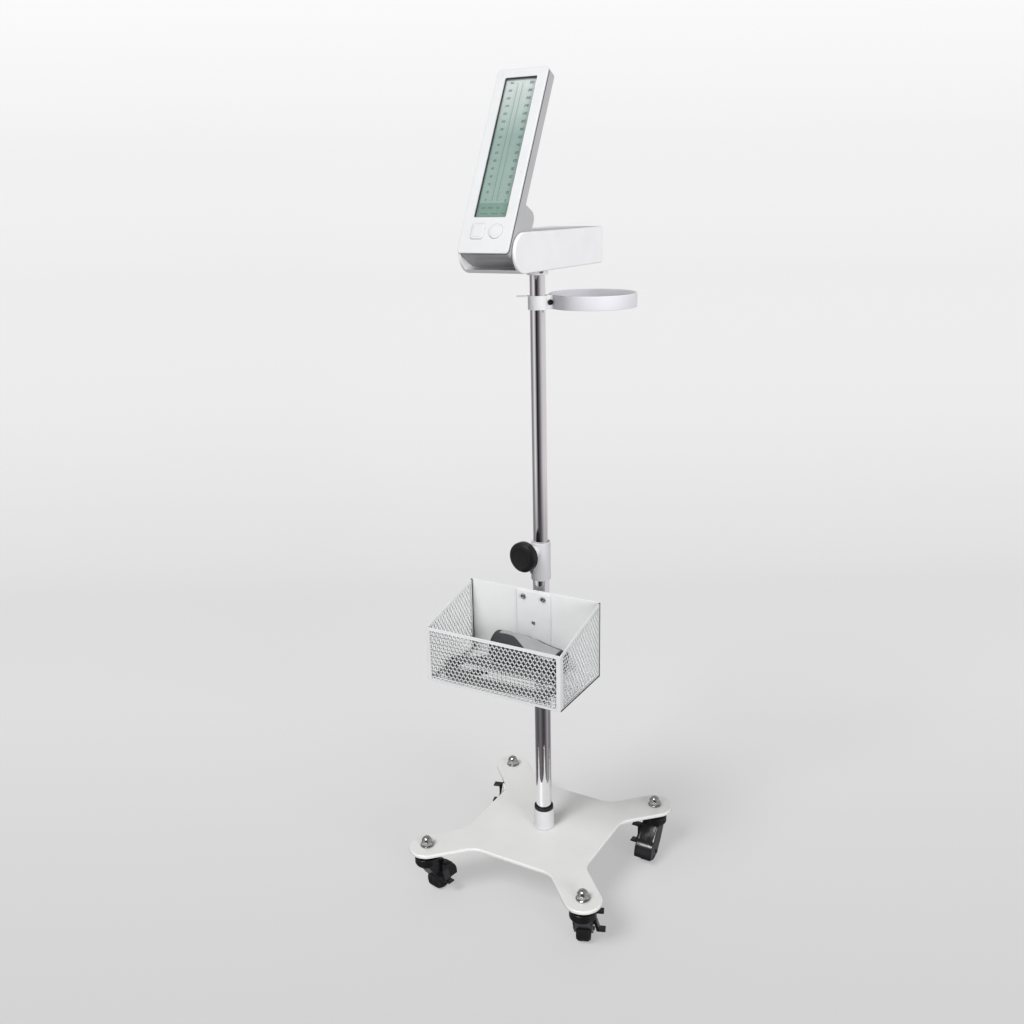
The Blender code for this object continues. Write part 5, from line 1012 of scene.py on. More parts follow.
    def build_pedal(self) -> bpy.types.Object:
        """The bent pedal: two tabs on a plate, its corners rounded, ribbed under the foot."""
        inner, outer, arm, thick = 0.0027, -0.003, 0.022, 0.003
        lean = arm * math.tan(math.radians(15))
        line = [
            (inner, 0.0),
            (inner, arm),
            (outer - 0.014, arm),
            (outer - 0.014, arm - thick),
            (outer, arm - thick),
            (outer, 0.0),
            (inner - lean - thick - 0.003, -arm + thick),
            (inner - lean - thick - 0.014, -arm + thick),
            (inner - lean - thick - 0.014, -arm),
            (inner - lean, -arm),
        ]
        outline = softened(np.array(line), 0.0013, 4, closed=True)
        own = self.axes()
        pivot = self.frame.spot(f"brake_{self.corner.value}")
        turn = np.array([[0.0, 0.0, 1.0], [1.0, 0.0, 0.0], [0.0, 1.0, 0.0]])
        place = Placing(pivot, own.axes @ turn)
        solid = Solid()
        solid.slab(outline, -0.008, 0.008, place, 0.0009)
        for step in range(3):
            y = outer - 0.004 - step * 0.0036
            rib = round_box(0.0014, 0.0008, 0.00035, (y, arm + 0.0001), 3)
            solid.slab(rib, -0.0062, 0.0062, place, 0.0003)
        name = f"caster_pedal_{self.corner.value}"
        return wear(solid.build(f"{name}_look", [BLACK_PLASTIC]), f"pedal_{self.corner.value}", "black_plastic", name)

    def build_stem(self) -> bpy.types.Object:
        """Threaded stem, dust cap and ball race, turned about the swivel's axis."""
        low, high = reach_of(f"caster_stem_{self.corner.value}")
        plate = reach_of("base_plate")[0][2]
        under = plate - 0.0003
        rows = [(0.0, low[2]), (0.0195, low[2]), (0.0195, under - 0.003), (0.0255, under - 0.003)]
        rows += [(0.0255, under), (0.0058, under), (0.0058, high[2]), (0.0, high[2])]
        solid = Solid()
        solid.turn(softened(np.array(rows), 0.0008, 4), Placing(self.axes().origin))
        name = f"caster_stem_{self.corner.value}"
        return wear(solid.build(f"{name}_look", [STEEL]), "base", "steel", name)

    def build_nut(self) -> bpy.types.Object:
        """The chrome nut: a washer face, a hexagon with softened corners, and a dome."""
        low, high = reach_of(f"dome_nut_{self.corner.value}")
        foot = low[2]
        middle = self.axes().origin
        place = Placing(np.array([middle[0], middle[1], foot]))
        hexagon = softened(circle((0.0, 0.0), 0.0125, 6), 0.0015, 4, closed=True)
        dome = [(0.0103 * math.cos(a), 0.0108 + 0.010 * math.sin(a)) for a in np.linspace(0.0, math.pi / 2, 15)]
        dome[-1] = (0.0, high[2] - foot)
        solid = Solid()
        solid.slab(hexagon, 0.0016, 0.0108, place, 0.0009)
        solid.turn(np.array([(0.0, 0.010), (0.0103, 0.010), *dome]), place, steps=64)
        washer = [(0.0061, 0.0), (0.0138, 0.0), (0.0138, 0.0024), (0.0061, 0.0024)]
        solid.turn(softened(np.array(washer), 0.0006, 3, closed=True), place, steps=64, ring=True)
        name = f"dome_nut_{self.corner.value}"
        return wear(solid.build(f"{name}_look", [NUT_CHROME]), "base", "chrome", name)

    def build(self) -> None:
        """Builds the whole caster."""
        self.build_fork()
        self.build_wheel()
        self.build_pedal()
        self.build_stem()
        self.build_nut()


@dataclass
class Mast:
    """The socket, both tubes, the clamp collar with its bolt, and the knob."""

    frame: Frame
    lower_radius: float = 0.016
    upper_radius: float = 0.014
    wall: float = 0.0015
    collar_radius: float = 0.019
    boss_radius: float = 0.010
    boss_reach: float = 0.030

    def tube(self, node: str, radius: float, body: str) -> bpy.types.Object:
        """A drawn tube between a CAD tube's ends, its mouths slightly rolled."""
        low, high = reach_of(node)
        inner = radius - self.wall
        section = np.array([(inner, low[2]), (radius, low[2]), (radius, high[2]), (inner, high[2])])
        solid = Solid()
        solid.turn(softened(section, 0.0005, 3, closed=True), Placing(np.zeros(3)), steps=128, ring=True)
        return wear(solid.build(f"{node}_look", [CHROME]), body, "chrome", node)

    def socket(self) -> None:
        """The white socket with its flared foot, and the rubber ring in its mouth."""
        low, high = reach_of("pole_socket")
        foot, top = low[2], high[2]
        bore = self.lower_radius + 0.0003
        rows = [(0.0, foot), (0.0235, foot), (0.021, foot + 0.004), (0.021, top), (bore, top), (bore, foot + 0.01)]
        rows.append((0.0, foot + 0.01))
        solid = Solid()
        solid.turn(softened(np.array(rows), 0.0016, 5), Placing(np.zeros(3)), steps=96)
        # The socket wears the darker copy of the white coat: painted shade.
        wear(solid.build("pole_socket_look", [SHADED_WHITE_COAT]), "base", "white_coat", "pole_socket")
        low, high = reach_of("socket_ring")
        section = np.array([(bore, low[2]), (0.0195, low[2]), (0.0195, high[2]), (bore, high[2])])
        ring = Solid()
        ring.turn(softened(section, 0.0011, 5, closed=True), Placing(np.zeros(3)), steps=96, ring=True)
        wear(ring.build("socket_ring_look", [RUBBER]), "base", "black_rubber", "socket_ring")

    def collar(self) -> None:
        """The clamp collar: a rounded sleeve with a lip over the tube, and the stud's boss."""
        low, high = reach_of("mast_collar")
        top, bottom = high[2], low[2]
        bore, mouth = self.lower_radius + 0.0003, self.upper_radius + 0.0004
        rows = [(bore, bottom), (self.collar_radius, bottom), (self.collar_radius, top)]
        rows += [(mouth, top), (mouth, top - 0.005), (bore, top - 0.005)]
        solid = Solid()
        solid.turn(softened(np.array(rows), 0.0014, 5, closed=True), Placing(np.zeros(3)), steps=96, ring=True)
        clamp = self.frame.axis("knob_turn")
        spot = np.array([0.0, 0.0, self.frame.spot("knob_turn")[2]])
        outward = clamp if clamp @ self.frame.spot("knob_turn") >= 0 else -clamp
        place = Placing.along(spot, outward)
        boss = [(0.0043, 0.0168), (0.0128, 0.0168), (0.0100, 0.0215), (0.0100, 0.030), (0.0043, 0.030)]
        solid.turn(softened(np.array(boss), 0.0012, 5, closed=True), place, steps=64, ring=True)
        # The collar wears the darker copy of the white coat: painted shade.
        wear(solid.build("mast_collar_look", [SHADED_WHITE_COAT]), "base", "white_coat", "mast_collar")

    def bolt(self) -> None:
        """The small bolt in the collar."""
        angle = math.radians(235)
        height = reach_of("mast_collar")[0][2] + 0.017
        way = np.array([math.cos(angle), math.sin(angle), 0.0])
        place = Placing.along(way * (self.collar_radius + 0.0003) + (0.0, 0.0, height), way)
        solid = Solid()
        solid.turn(pin_profile(0.002, 0.003, 0.0038, 0.003, 0.0017)[::-1], place, steps=40)
        wear(solid.build("collar_bolt_look", [STEEL]), "base", "steel", "collar_bolt")

    def knob(self) -> None:
        """The knob: a neck, a round head with a soft rim and a shallow dish in its face, and its stud."""
        clamp = self.frame.axis("knob_turn")
        middle = middle_of("clamp_knob")
        outward = clamp if clamp @ middle >= 0 else -clamp
        spot = np.array([0.0, 0.0, self.frame.spot("knob_turn")[2]])
        start, face = 0.043, 0.063
        rows = [
            (0.0, 0.0144),
            (0.0040, 0.0144),
            (0.0040, 0.0303),
            (0.0090, 0.0303),
            (0.0092, start - 0.002),
            (0.0120, start),
            (0.0245, start),
            (0.0292, start + 0.0035),
            (0.0292, face - 0.0060),
            (0.0279, face - 0.0028),
            (0.0228, face - 0.0004),
            (0.0200, face),
            (0.0175, face - 0.0006),
            (0.0, face - 0.0012),
        ]
        solid = Solid()
        solid.turn(softened(np.array(rows), 0.0022, 5), Placing.along(spot, outward), steps=96)
        wear(solid.build("clamp_knob_look", [KNOB_BLACK]), "knob", "black_plastic", "clamp_knob")

    def foot(self) -> None:
        """The plastic guide in the upper tube's lower end."""
        low, high = reach_of("tube_foot")
        flange, plug, shelf = 0.0143, 0.0122, high[2] - 0.018
        rows = [(0.0, low[2]), (flange, low[2]), (flange, shelf), (plug, shelf), (plug, high[2]), (0.0, high[2])]
        solid = Solid()
        solid.turn(softened(np.array(rows), 0.0008, 3), Placing(np.zeros(3)), steps=64)
        wear(solid.build("tube_foot_look", [DULL_BLACK]), "mast_sleeve", "black_plastic", "tube_foot")

    def build(self) -> None:
        """Builds the mast's pieces."""
        self.socket()
        self.tube("lower_tube", self.lower_radius, "base")
        self.tube("upper_tube", self.upper_radius, "mast")
        self.collar()
        self.bolt()
        self.knob()
        self.foot()


@dataclass
class Hoop:
    """The flat band beside the mast, its split collar, hose hook and screw."""

    direction: float = math.radians(47)
    reach: float = 0.106
    radius: float = 0.080
    wall: float = 0.0025
    collar_radius: float = 0.0175
    bore: float = 0.0143

    def ring(self) -> None:
        """The band: a thin closed section with round edges, turned about its own middle."""
        low, high = reach_of("hoop_ring")
        middle = np.array([math.cos(self.direction), math.sin(self.direction), 0.0]) * self.reach
        inner = self.radius - self.wall
        section = np.array([(inner, low[2]), (self.radius, low[2]), (self.radius, high[2]), (inner, high[2])])
        solid = Solid()
        solid.turn(softened(section, 0.0011, 5, closed=True), Placing(middle), steps=144, ring=True)
        wear(solid.build("hoop_ring_look", [HOOP_COAT]), "mast", "white_coat", "hoop_ring")

    def collar(self) -> None:
        """The collar's sleeve as an open ring, its two ears, and the flat hook."""
        low, high = reach_of("hoop_ring")
        place = Placing(np.zeros(3), turn_z(self.direction))
        half = math.degrees(math.asin(0.001 / self.collar_radius))
        outer = arc((0.0, 0.0), self.collar_radius, half, 360 - half, 72)
        inner = arc((0.0, 0.0), self.bore, 360 - half, half, 72)
        solid = Solid()
        sleeve = np.concatenate([outer, inner])
        solid.slab(sleeve, low[2], high[2], place, 0.0007)
        for way in (-1, 1):
            ear = np.array([(0.0150, 0.001), (0.0262, 0.001), (0.0266, 0.007), (0.0135, 0.007)])
            ear = softened(ear if way > 0 else (ear * (1, -1))[::-1], 0.0009, 3, closed=True)
            solid.slab(ear, low[2], high[2], place, 0.0008)
        hook = np.array([(self.bore + 0.001, -0.008), (0.038, -0.0028), (0.038, 0.0028), (self.bore + 0.001, 0.008)])
        top = high[2] - 0.00025
        aside = Placing(np.zeros(3), turn_z(math.radians(210)))
        solid.slab(softened(hook, 0.0015, 4, closed=True), top - 0.002, top, aside, 0.0007)
        # The collar wears the lighter copy of the moulded white: painted light where the cradle shades it.
        wear(solid.build("hoop_collar_look", [LIT_WHITE_PLASTIC]), "mast", "white_coat", "hoop_collar")

    def screw(self) -> None:
        """The black screw through the ears, its head to the front right."""
        low, high = reach_of("hoop_ring")
        along = np.array([math.cos(self.direction), math.sin(self.direction), 0.0])
        way = np.array([math.sin(self.direction), -math.cos(self.direction), 0.0])
        spot = along * 0.0211 + way * 0.0073 + (0.0, 0.0, (low[2] + high[2]) / 2)
        solid = Solid()
        solid.turn(pin_profile(0.0025, 0.016, 0.0049, 0.005, 0.0024)[::-1], Placing.along(spot, way), steps=40)
        wear(solid.build("hoop_screw_look", [DULL_BLACK]), "mast", "black_plastic", "hoop_screw")

    def build(self) -> None:
        """Builds the hoop's pieces."""
        self.ring()
        self.collar()
        self.screw()


def turn_z(angle: float) -> Array:
    """The matrix that turns about Z by an angle."""
    c, s = math.cos(angle), math.sin(angle)
    return np.array([[c, -s, 0.0], [s, c, 0.0], [0.0, 0.0, 1.0]])


@dataclass
class Cradle:
    """The moulded cradle: side walls that end in round ears, a bridge between them, and the boss."""

    bottom: float = 1.253
    height: float = 0.065932
    pivot_y: float = -0.140
    back: float = 0.157
    half_width: float = 0.0545
    ear: float = 0.0059
    floor: float = 0.0065
    recess_back: float = -0.070
    edge: float = 0.0026

    def side_view(self) -> Array:
        """A side wall's outline in Y and height: a half circle about the pivot and a square back end."""
        radius = self.height / 2
        front = arc((self.pivot_y, self.bottom + radius), radius, 90, 270, 56)
        low = arc((self.back - 0.005, self.bottom + 0.005), 0.005, -90, 0, 6)
        high = arc((self.back - 0.005, self.bottom + self.height - 0.005), 0.005, 0, 90, 6)
        return np.concatenate([front, low, high])

    def bridge_view(self) -> Array:
        """The bridge's outline: the floor under the head, the wall behind it and the box to the back."""
        radius = self.height / 2
        rise = self.floor - radius
        angle = math.degrees(math.asin(rise / radius))
        front = arc((self.pivot_y, self.bottom + radius), radius, 180 - angle, 270, 24)
        low = arc((self.back - 0.005, self.bottom + 0.005), 0.005, -90, 0, 6)
        top = self.bottom + self.height
        high = arc((self.back - 0.005, top - 0.005), 0.005, 0, 90, 6)
        wall = arc((self.recess_back + 0.0022, top - 0.0022), 0.0022, 90, 180, 6)
        foot = arc((self.recess_back - 0.004, self.bottom + self.floor + 0.004), 0.004, 360, 270, 6)
        return np.concatenate([front, low, high, wall, foot])

    def side_placing(self) -> Placing:
        """Local X is the frame's Y, local Y its height and local Z its X."""
        return Placing(np.zeros(3), np.array([[0.0, 0.0, 1.0], [1.0, 0.0, 0.0], [0.0, 1.0, 0.0]]))

    def build(self) -> None:
        """Builds the cradle, its cover, its set screw and the head's hinge pin."""
        solid = Solid()
        place = self.side_placing()
        inner = self.half_width - self.ear
        outline = self.side_view()
        for way in (-1, 1):
            low, high = (inner, self.half_width) if way > 0 else (-self.half_width, -inner)
            rolls = (0.0006, self.edge) if way > 0 else (self.edge, 0.0006)
            rings = rolled_rings(outline, low, high, *rolls, 6)
            solid.grid(place.put(rings[:-1]))
            for ring in (rings[0], rings[-1]):
                solid.sheet([ring[:, :2]], ring[0, 2], place)
            solid.grid(place.put(rings[-2:]))
        bridge = self.bridge_view()
        rings = rolled_rings(bridge, -inner - 0.002, inner + 0.002)
        solid.grid(place.put(rings[1:-1]))
        for ring in (rings[1], rings[-2]):
            solid.sheet([ring[:, :2]], ring[0, 2], place)
        rows = [(0.0143, 1.241), (0.019, 1.241), (0.019, self.bottom - 0.002), (0.0212, self.bottom + 0.0006)]
        rows += [(0.0143, self.bottom + 0.0006)]
        solid.turn(softened(np.array(rows), 0.0012, 5, closed=True), Placing(np.zeros(3)), steps=96, ring=True)
        # The cradle wears the lighter copy of the moulded white: painted light on its sides.
        wear(solid.build("cradle_body_look", [LIT_WHITE_PLASTIC]), "mast", "white_plastic", "cradle_body")
        self.cover()
        self.screw()
        self.pin()

    def cover(self) -> None:
        """The plate under the box, with a lip of shadow round it."""
        outline = round_box(2 * inner_cover(self), 0.216, 0.005, (0.0, 0.0435), 6)
        hole = circle((0.0, 0.0), 0.0222, 72)
        solid = Solid()
        low, high = self.bottom - 0.0006, self.bottom + 0.0008
        solid.slab(outline, low, high, Placing(np.zeros(3)), 0.0005, holes=(hole,))
        # The cover wears the lighter copy of the moulded white: painted light.
        wear(solid.build("cradle_cover_look", [LIT_WHITE_PLASTIC]), "mast", "white_plastic", "cradle_cover")

    def screw(self) -> None:
        """The set screw in the boss."""
        angle = math.radians(-40)
        way = np.array([math.cos(angle), math.sin(angle), 0.0])
        spot = way * 0.0193 + (0.0, 0.0, self.bottom - 0.006)
        solid = Solid()
        solid.turn(pin_profile(0.002, 0.003, 0.0034, 0.0022, 0.0015)[::-1], Placing.along(spot, way), steps=40)
        wear(solid.build("cradle_screw_look", [STEEL]), "mast", "steel", "cradle_screw")

    def pin(self) -> None:
        """The hinge pin, a rod with chamfered ends."""
        low, high = reach_of("tilt_pin")
        middle = middle_of("tilt_pin")
        half = (high[0] - low[0]) / 2
        rows = [(0.0, -half), (0.004, -half), (0.004, half), (0.0, half)]
        solid = Solid()
        solid.turn(softened(np.array(rows), 0.0006, 2), Placing.along(middle, (1.0, 0.0, 0.0)), steps=48)
        wear(solid.build("tilt_pin_look", [STEEL]), "mast", "steel", "tilt_pin")


def inner_cover(cradle: Cradle) -> float:
    """Half the cover's width, inside the cradle's side walls."""
    return cradle.half_width - cradle.ear - 0.0005


@dataclass
class Head:
    """The monitor: both casings, the window and panel with its scale, the buttons, and what lies inside."""

    pivot: Array
    tilt: float = math.radians(27.2)
    width: float = 0.096
    height: float = 0.324
    corner: float = 0.006
    depth: float = 0.005
    wall: float = 0.003
    edge: float = 0.0011
    window_width: float = 0.0605
    window_low: float = 0.0617
    window_high: float = 0.3078
    button_height: float = 0.0375
    pivot_depth: float = 0.0426
    pivot_height: float = 0.0195

    def placing(self) -> Placing:
        """The head's own placing: X to the right, Y up its front, Z out of it, with 0 on the front face."""
        s, c = math.sin(self.tilt), math.cos(self.tilt)
        up, out = np.array([0.0, s, c]), np.array([0.0, -c, s])
        origin = self.pivot - up * self.pivot_height + out * self.pivot_depth
        return Placing(origin, np.stack([np.array([1.0, 0.0, 0.0]), up, out], axis=1))

    def window(self, margin: float, radius: float = 0.0025) -> Array:
        """The display opening's outline, larger by a margin."""
        middle = (self.window_low + self.window_high) / 2
        tall = self.window_high - self.window_low + 2 * margin
        return round_box(self.window_width + 2 * margin, tall, radius, (0.0, middle), 8)

    def power(self, margin: float) -> Array:
        """The square button's outline, larger by a margin."""
        wide, tall = 0.024 + 2 * margin, 0.027 + 2 * margin
        return round_box(wide, tall, 0.005 + margin, (-0.0165, self.button_height), 10)

    def start(self, margin: float) -> Array:
        """The round button's outline, larger by a margin."""
        return circle((0.0175, self.button_height), 0.0125 + margin, 72)

    def front(self) -> None:
        """The front casing: a thin rounded plate with its openings, and a wall round its back."""
        solid = Solid()
        place = self.placing()
        outline = round_box(self.width, self.height, self.corner, (0.0, self.height / 2), 12)
        holes = (self.window(0.0), self.power(0.0003), self.start(0.0003))
        rings = rolled_rings(outline, -self.wall, 0.0, 0.0003, self.edge, 6)
        solid.grid(place.put(rings[1:]))
        mouths = []
        for hole in holes:
            mouth = rolled_rings(hole, -self.wall, 0.0, 0.0, -0.0004, 3)[1:]
            mouths.append(mouth)
            solid.grid(place.put(mouth))
        solid.sheet([rings[-1, :, :2], *(m[-1, :, :2] for m in mouths)], 0.0, place)
        solid.sheet([rings[1, :, :2], *(m[0, :, :2] for m in mouths)], -self.wall, place)
        middle = (0.0, self.height / 2)
        skirt = round_box(self.width - 0.003, self.height - 0.003, self.corner - 0.0015, middle, 12)
        inner = round_box(self.width - 2 * self.wall, self.height - 2 * self.wall, 0.003, middle, 12)
        solid.slab(skirt, -self.depth, -self.wall, place, holes=(inner,))
        wear(solid.build("front_case_look", [WHITE_PLASTIC]), "head", "white_plastic", "front_case")
        self.seals(place)

    def seals(self, place: Placing) -> None:
        """A dark frame that lines the opening, and the dark joint between the two casings."""
        solid = Solid()
        solid.slab(self.window(-0.00005), -self.wall - 0.0003, -0.0009, place, holes=(self.window(-0.0007, 0.0018),))
        middle = (0.0, self.height / 2)
        joint = round_box(self.width - 0.0009, self.height - 0.0009, self.corner - 0.0004, middle, 12)
        inner = round_box(self.width - 0.0028, self.height - 0.0028, self.corner - 0.0014, middle, 12)
        solid.slab(joint, -self.depth - 0.0012, -self.wall + 0.0001, place, 0.0003, holes=(inner,))
        wear(solid.build("display_seal", [SEAL]), "head", "black_plastic")

    def rear(self) -> None:
        """The rear casing with its bulge, and the hatch's cover."""
        wear(refined("rear_case", 0.0011, GREY_PLASTIC), "head", "grey_plastic", "rear_case")
        wear(refined("battery_cover", 0.0005, GREY_PLASTIC), "hatch", "grey_plastic", "battery_cover")

    def display(self) -> None:
        """The clear window and the liquid-crystal panel behind it."""
        place = self.placing()
        near = self.wall + 0.0003
        window = Solid()
        window.slab(self.window(0.003, 0.004), -near - 0.0015, -near, place, 0.0002)
        wear(window.build("display_window_look", [WINDOW]), "head", "clear_window", "display_window")
        panel = Solid()
        face = -near - 0.0018
        panel.slab(self.window(0.0015, 0.003), face - 0.003, face, place, 0.0002)
        half = self.window_width / 2
        block = round_box(2 * half - 0.003, 0.0255, 0.0012, (0.0, self.window_low + 0.0143), 4)
        panel.slab(block, face, face + 0.00006, place, slot=1)
        made = panel.build("display_panel_look", [CRYSTAL, CELL_BLOCK])
        wear(made, "head", "display_green", "display_panel")
        self.scale(place, face)

    def scale(self, place: Placing, face: float) -> None:
        """The column's scale: a double line up the middle, ticks beside it, and numbers to 300.

        Numbers by twenties stand on both sides, the left ones smaller.
        """
        low, high = self.window_low + 0.031, self.window_high - 0.008
        ink = face + 0.00005
        solid = Solid()
        for x in (-0.0062, 0.0026):
            line = round_box(0.0006, high - low, 0.00028, (x, (low + high) / 2), 3)
            solid.slab(line, face, ink, place)
        count = 60
        for step in range(count + 1):
            y = low + (high - low) * step / count
            long = step % 4 == 0
            reach = 0.0032 if long else (0.0024 if step % 2 == 0 else 0.0016)
            for way, x in ((-1, -0.0072), (1, 0.0036)):
                tick = round_box(reach, 0.00034, 0.00016, (x + way * reach / 2, y), 2)
                solid.slab(tick, face, ink, place)
        for step in range(16):
            number = step * 20
            y = low + (high - low) * number / 300
            self.number(solid, number, 0.0192, y, place, ink, 0.0040)
            self.number(solid, number, -0.0185, y + 0.0015, place, ink, 0.0033)
        wear(solid.build("display_scale", [INK]), "head", "display_green")
        marks = Solid()
        for x, wide in ((-0.019, 0.008), (-0.006, 0.010), (0.008, 0.006)):
            mark = round_box(wide, 0.0036, 0.0009, (x, self.window_low + 0.0185), 4)
            marks.slab(mark, ink, ink + 0.00004, place)
        for x, wide in ((-0.016, 0.014), (0.004, 0.012), (0.020, 0.008)):
            mark = round_box(wide, 0.0022, 0.0006, (x, self.window_low + 0.0085), 4)
            marks.slab(mark, ink, ink + 0.00004, place)
        wear(marks.build("display_marks", [FAINT_INK]), "head", "display_green")

    def number(
        self, solid: Solid, value: int, x: float, y: float, place: Placing, face: float, size: float
    ) -> None:
        """Adds a number as seven-stroke digits.

        Args:
            solid: What the strokes are added to.
            value: The number.
            x: Its middle in the head's X.
            y: Its middle up the head.
            place: The head's placing.
            face: The height that the strokes lie at.
            size: The digits' height.
        """
        text = str(value)
        wide, thick = size * 0.5, size * 0.2
        for index, digit in enumerate(text):
            middle = x + (index - (len(text) - 1) / 2) * size * 0.72
            for stroke in STROKES[int(digit)]:
                sx, sy, flat = STROKE_PLACES[stroke]
                box = (wide, thick) if flat else (thick, size / 2)
                outline = round_box(*box, thick * 0.4, (middle + sx * wide / 2, y + sy * size / 2), 2)
                solid.slab(outline, face - 0.00005, face, place)

    def buttons(self) -> None:
        """The square and the round button, each a cap with a soft edge over a flange."""
        place = self.placing()
        parts = (("button_power", self.power, "power_button"), ("button_start", self.start, "start_button"))
        for node, outline, body in parts:
            solid = Solid()
            rings = rolled_rings(outline(0.0), -0.0038, 0.0011, 0.0, 0.0009, 5)
            solid.grid(place.put(rings), caps=True)
            solid.slab(outline(0.0014), -0.0045, -0.0033, place, 0.0002)
            raised = outline(-0.0035)
            solid.slab(raised, 0.0009, 0.0013, place, 0.0004)
            wear(solid.build(f"{node}_look", [WHITE_PLASTIC]), body, "white_plastic", node)

    def inside(self) -> None:
        """Board with its chips, pump, cells and the hose's socket."""
        place = self.placing()
        low, high = self.window_low + 0.0043, self.height - 0.020
        board = Solid()
        near = self.wall + 0.0015 + 0.003 + 0.0009
        outline = round_box(0.080, high - low, 0.001, (0.0, (low + high) / 2), 4)
        board.slab(outline, -near - 0.0016, -near, place, 0.0002)
        for index, (x, y, wide, tall) in enumerate(CHIPS):
            chip = round_box(wide, tall, 0.0006, (x, low + y), 3)
            board.slab(chip, -near - 0.0016 - 0.0012 - 0.0003 * (index % 3), -near - 0.0016, place, 0.0002, slot=1)
        wear(board.build("main_board_look", [BOARD, CHIP]), "head", "board_green", "main_board")
        low_pump, high_pump = reach_of("air_pump")
        half = 0.023
        rows = [(0.0, -half), (0.009, -half), (0.009, half), (0.004, half), (0.004, half + 0.008), (0.0, half + 0.008)]
        middle = (low_pump + high_pump) / 2 - (0.004, 0.0, 0.0)
        pump = Solid()
        pump.turn(softened(np.array(rows), 0.0012, 4), Placing.along(middle, (1.0, 0.0, 0.0)), steps=64)
        wear(pump.build("air_pump_look", [STEEL]), "head", "steel", "air_pump")
        self.cells(place)
        self.port(place)

    def cells(self, place: Placing) -> None:
        """Four cells side by side, each a rod with a raised contact."""
        solid = Solid()
        radius, length = 0.00725, 0.0505
        depth = 0.060 - 0.0025 - radius - 0.00105
        top = 0.095 - 0.013 - 0.003 + 0.0055
        turn = np.array([[1.0, 0.0, 0.0], [0.0, 0.0, 1.0], [0.0, -1.0, 0.0]])
        for index in range(4):
            x = (index - 1.5) * (2 * radius - 0.0004)
            spot = place.put(np.array([x, top - length, -depth]))
            rows = [(0.0, 0.0), (radius, 0.0), (radius, length - 0.0012), (0.0028, length - 0.0012)]
            rows += [(0.0028, length), (0.0, length)]
            solid.turn(softened(np.array(rows), 0.0007, 3), Placing(spot, place.axes @ turn), steps=48)
        wear(solid.build("battery_pack_look", [DULL_BLACK]), "head", "black_plastic", "battery_pack")

    def port(self, place: Placing) -> None:
        """The hose's socket: a bored bush with a flange's soft edge, out of the left side."""
        middle = middle_of("air_socket")
        outer = reach_of("air_socket")[0][0]
        start = np.array([outer, middle[1], middle[2]])
        rows = [(0.0022, 0.0), (0.0042, 0.0), (0.0042, 0.0115), (0.0022, 0.0115)]
        solid = Solid()
        solid.turn(softened(np.array(rows), 0.0006, 4, closed=True), Placing.along(start, (1.0, 0.0, 0.0)), ring=True)
        wear(solid.build("air_socket_look", [DULL_BLACK]), "head", "black_plastic", "air_socket")

    def build(self) -> None:
        """Builds the head's pieces."""
        self.front()
        self.rear()
        self.display()
        self.buttons()
        self.inside()


STROKES = ("abcdef", "bc", "abged", "abgcd", "fgbc", "afgcd", "afgcde", "abc", "abcdefg", "abcdfg")
STROKE_PLACES = {
    "a": (0.0, 1.0, True),
    "b": (1.0, 0.5, False),
    "c": (1.0, -0.5, False),
    "d": (0.0, -1.0, True),
    "e": (-1.0, -0.5, False),
    "f": (-1.0, 0.5, False),
    "g": (0.0, 0.0, True),
}
CHIPS = (
    (-0.012, 0.060, 0.014, 0.014),
    (0.018, 0.100, 0.008, 0.010),
    (-0.020, 0.120, 0.006, 0.012),
    (0.010, 0.150, 0.018, 0.006),
    (-0.010, 0.185, 0.007, 0.007),
    (0.022, 0.040, 0.010, 0.006),
)


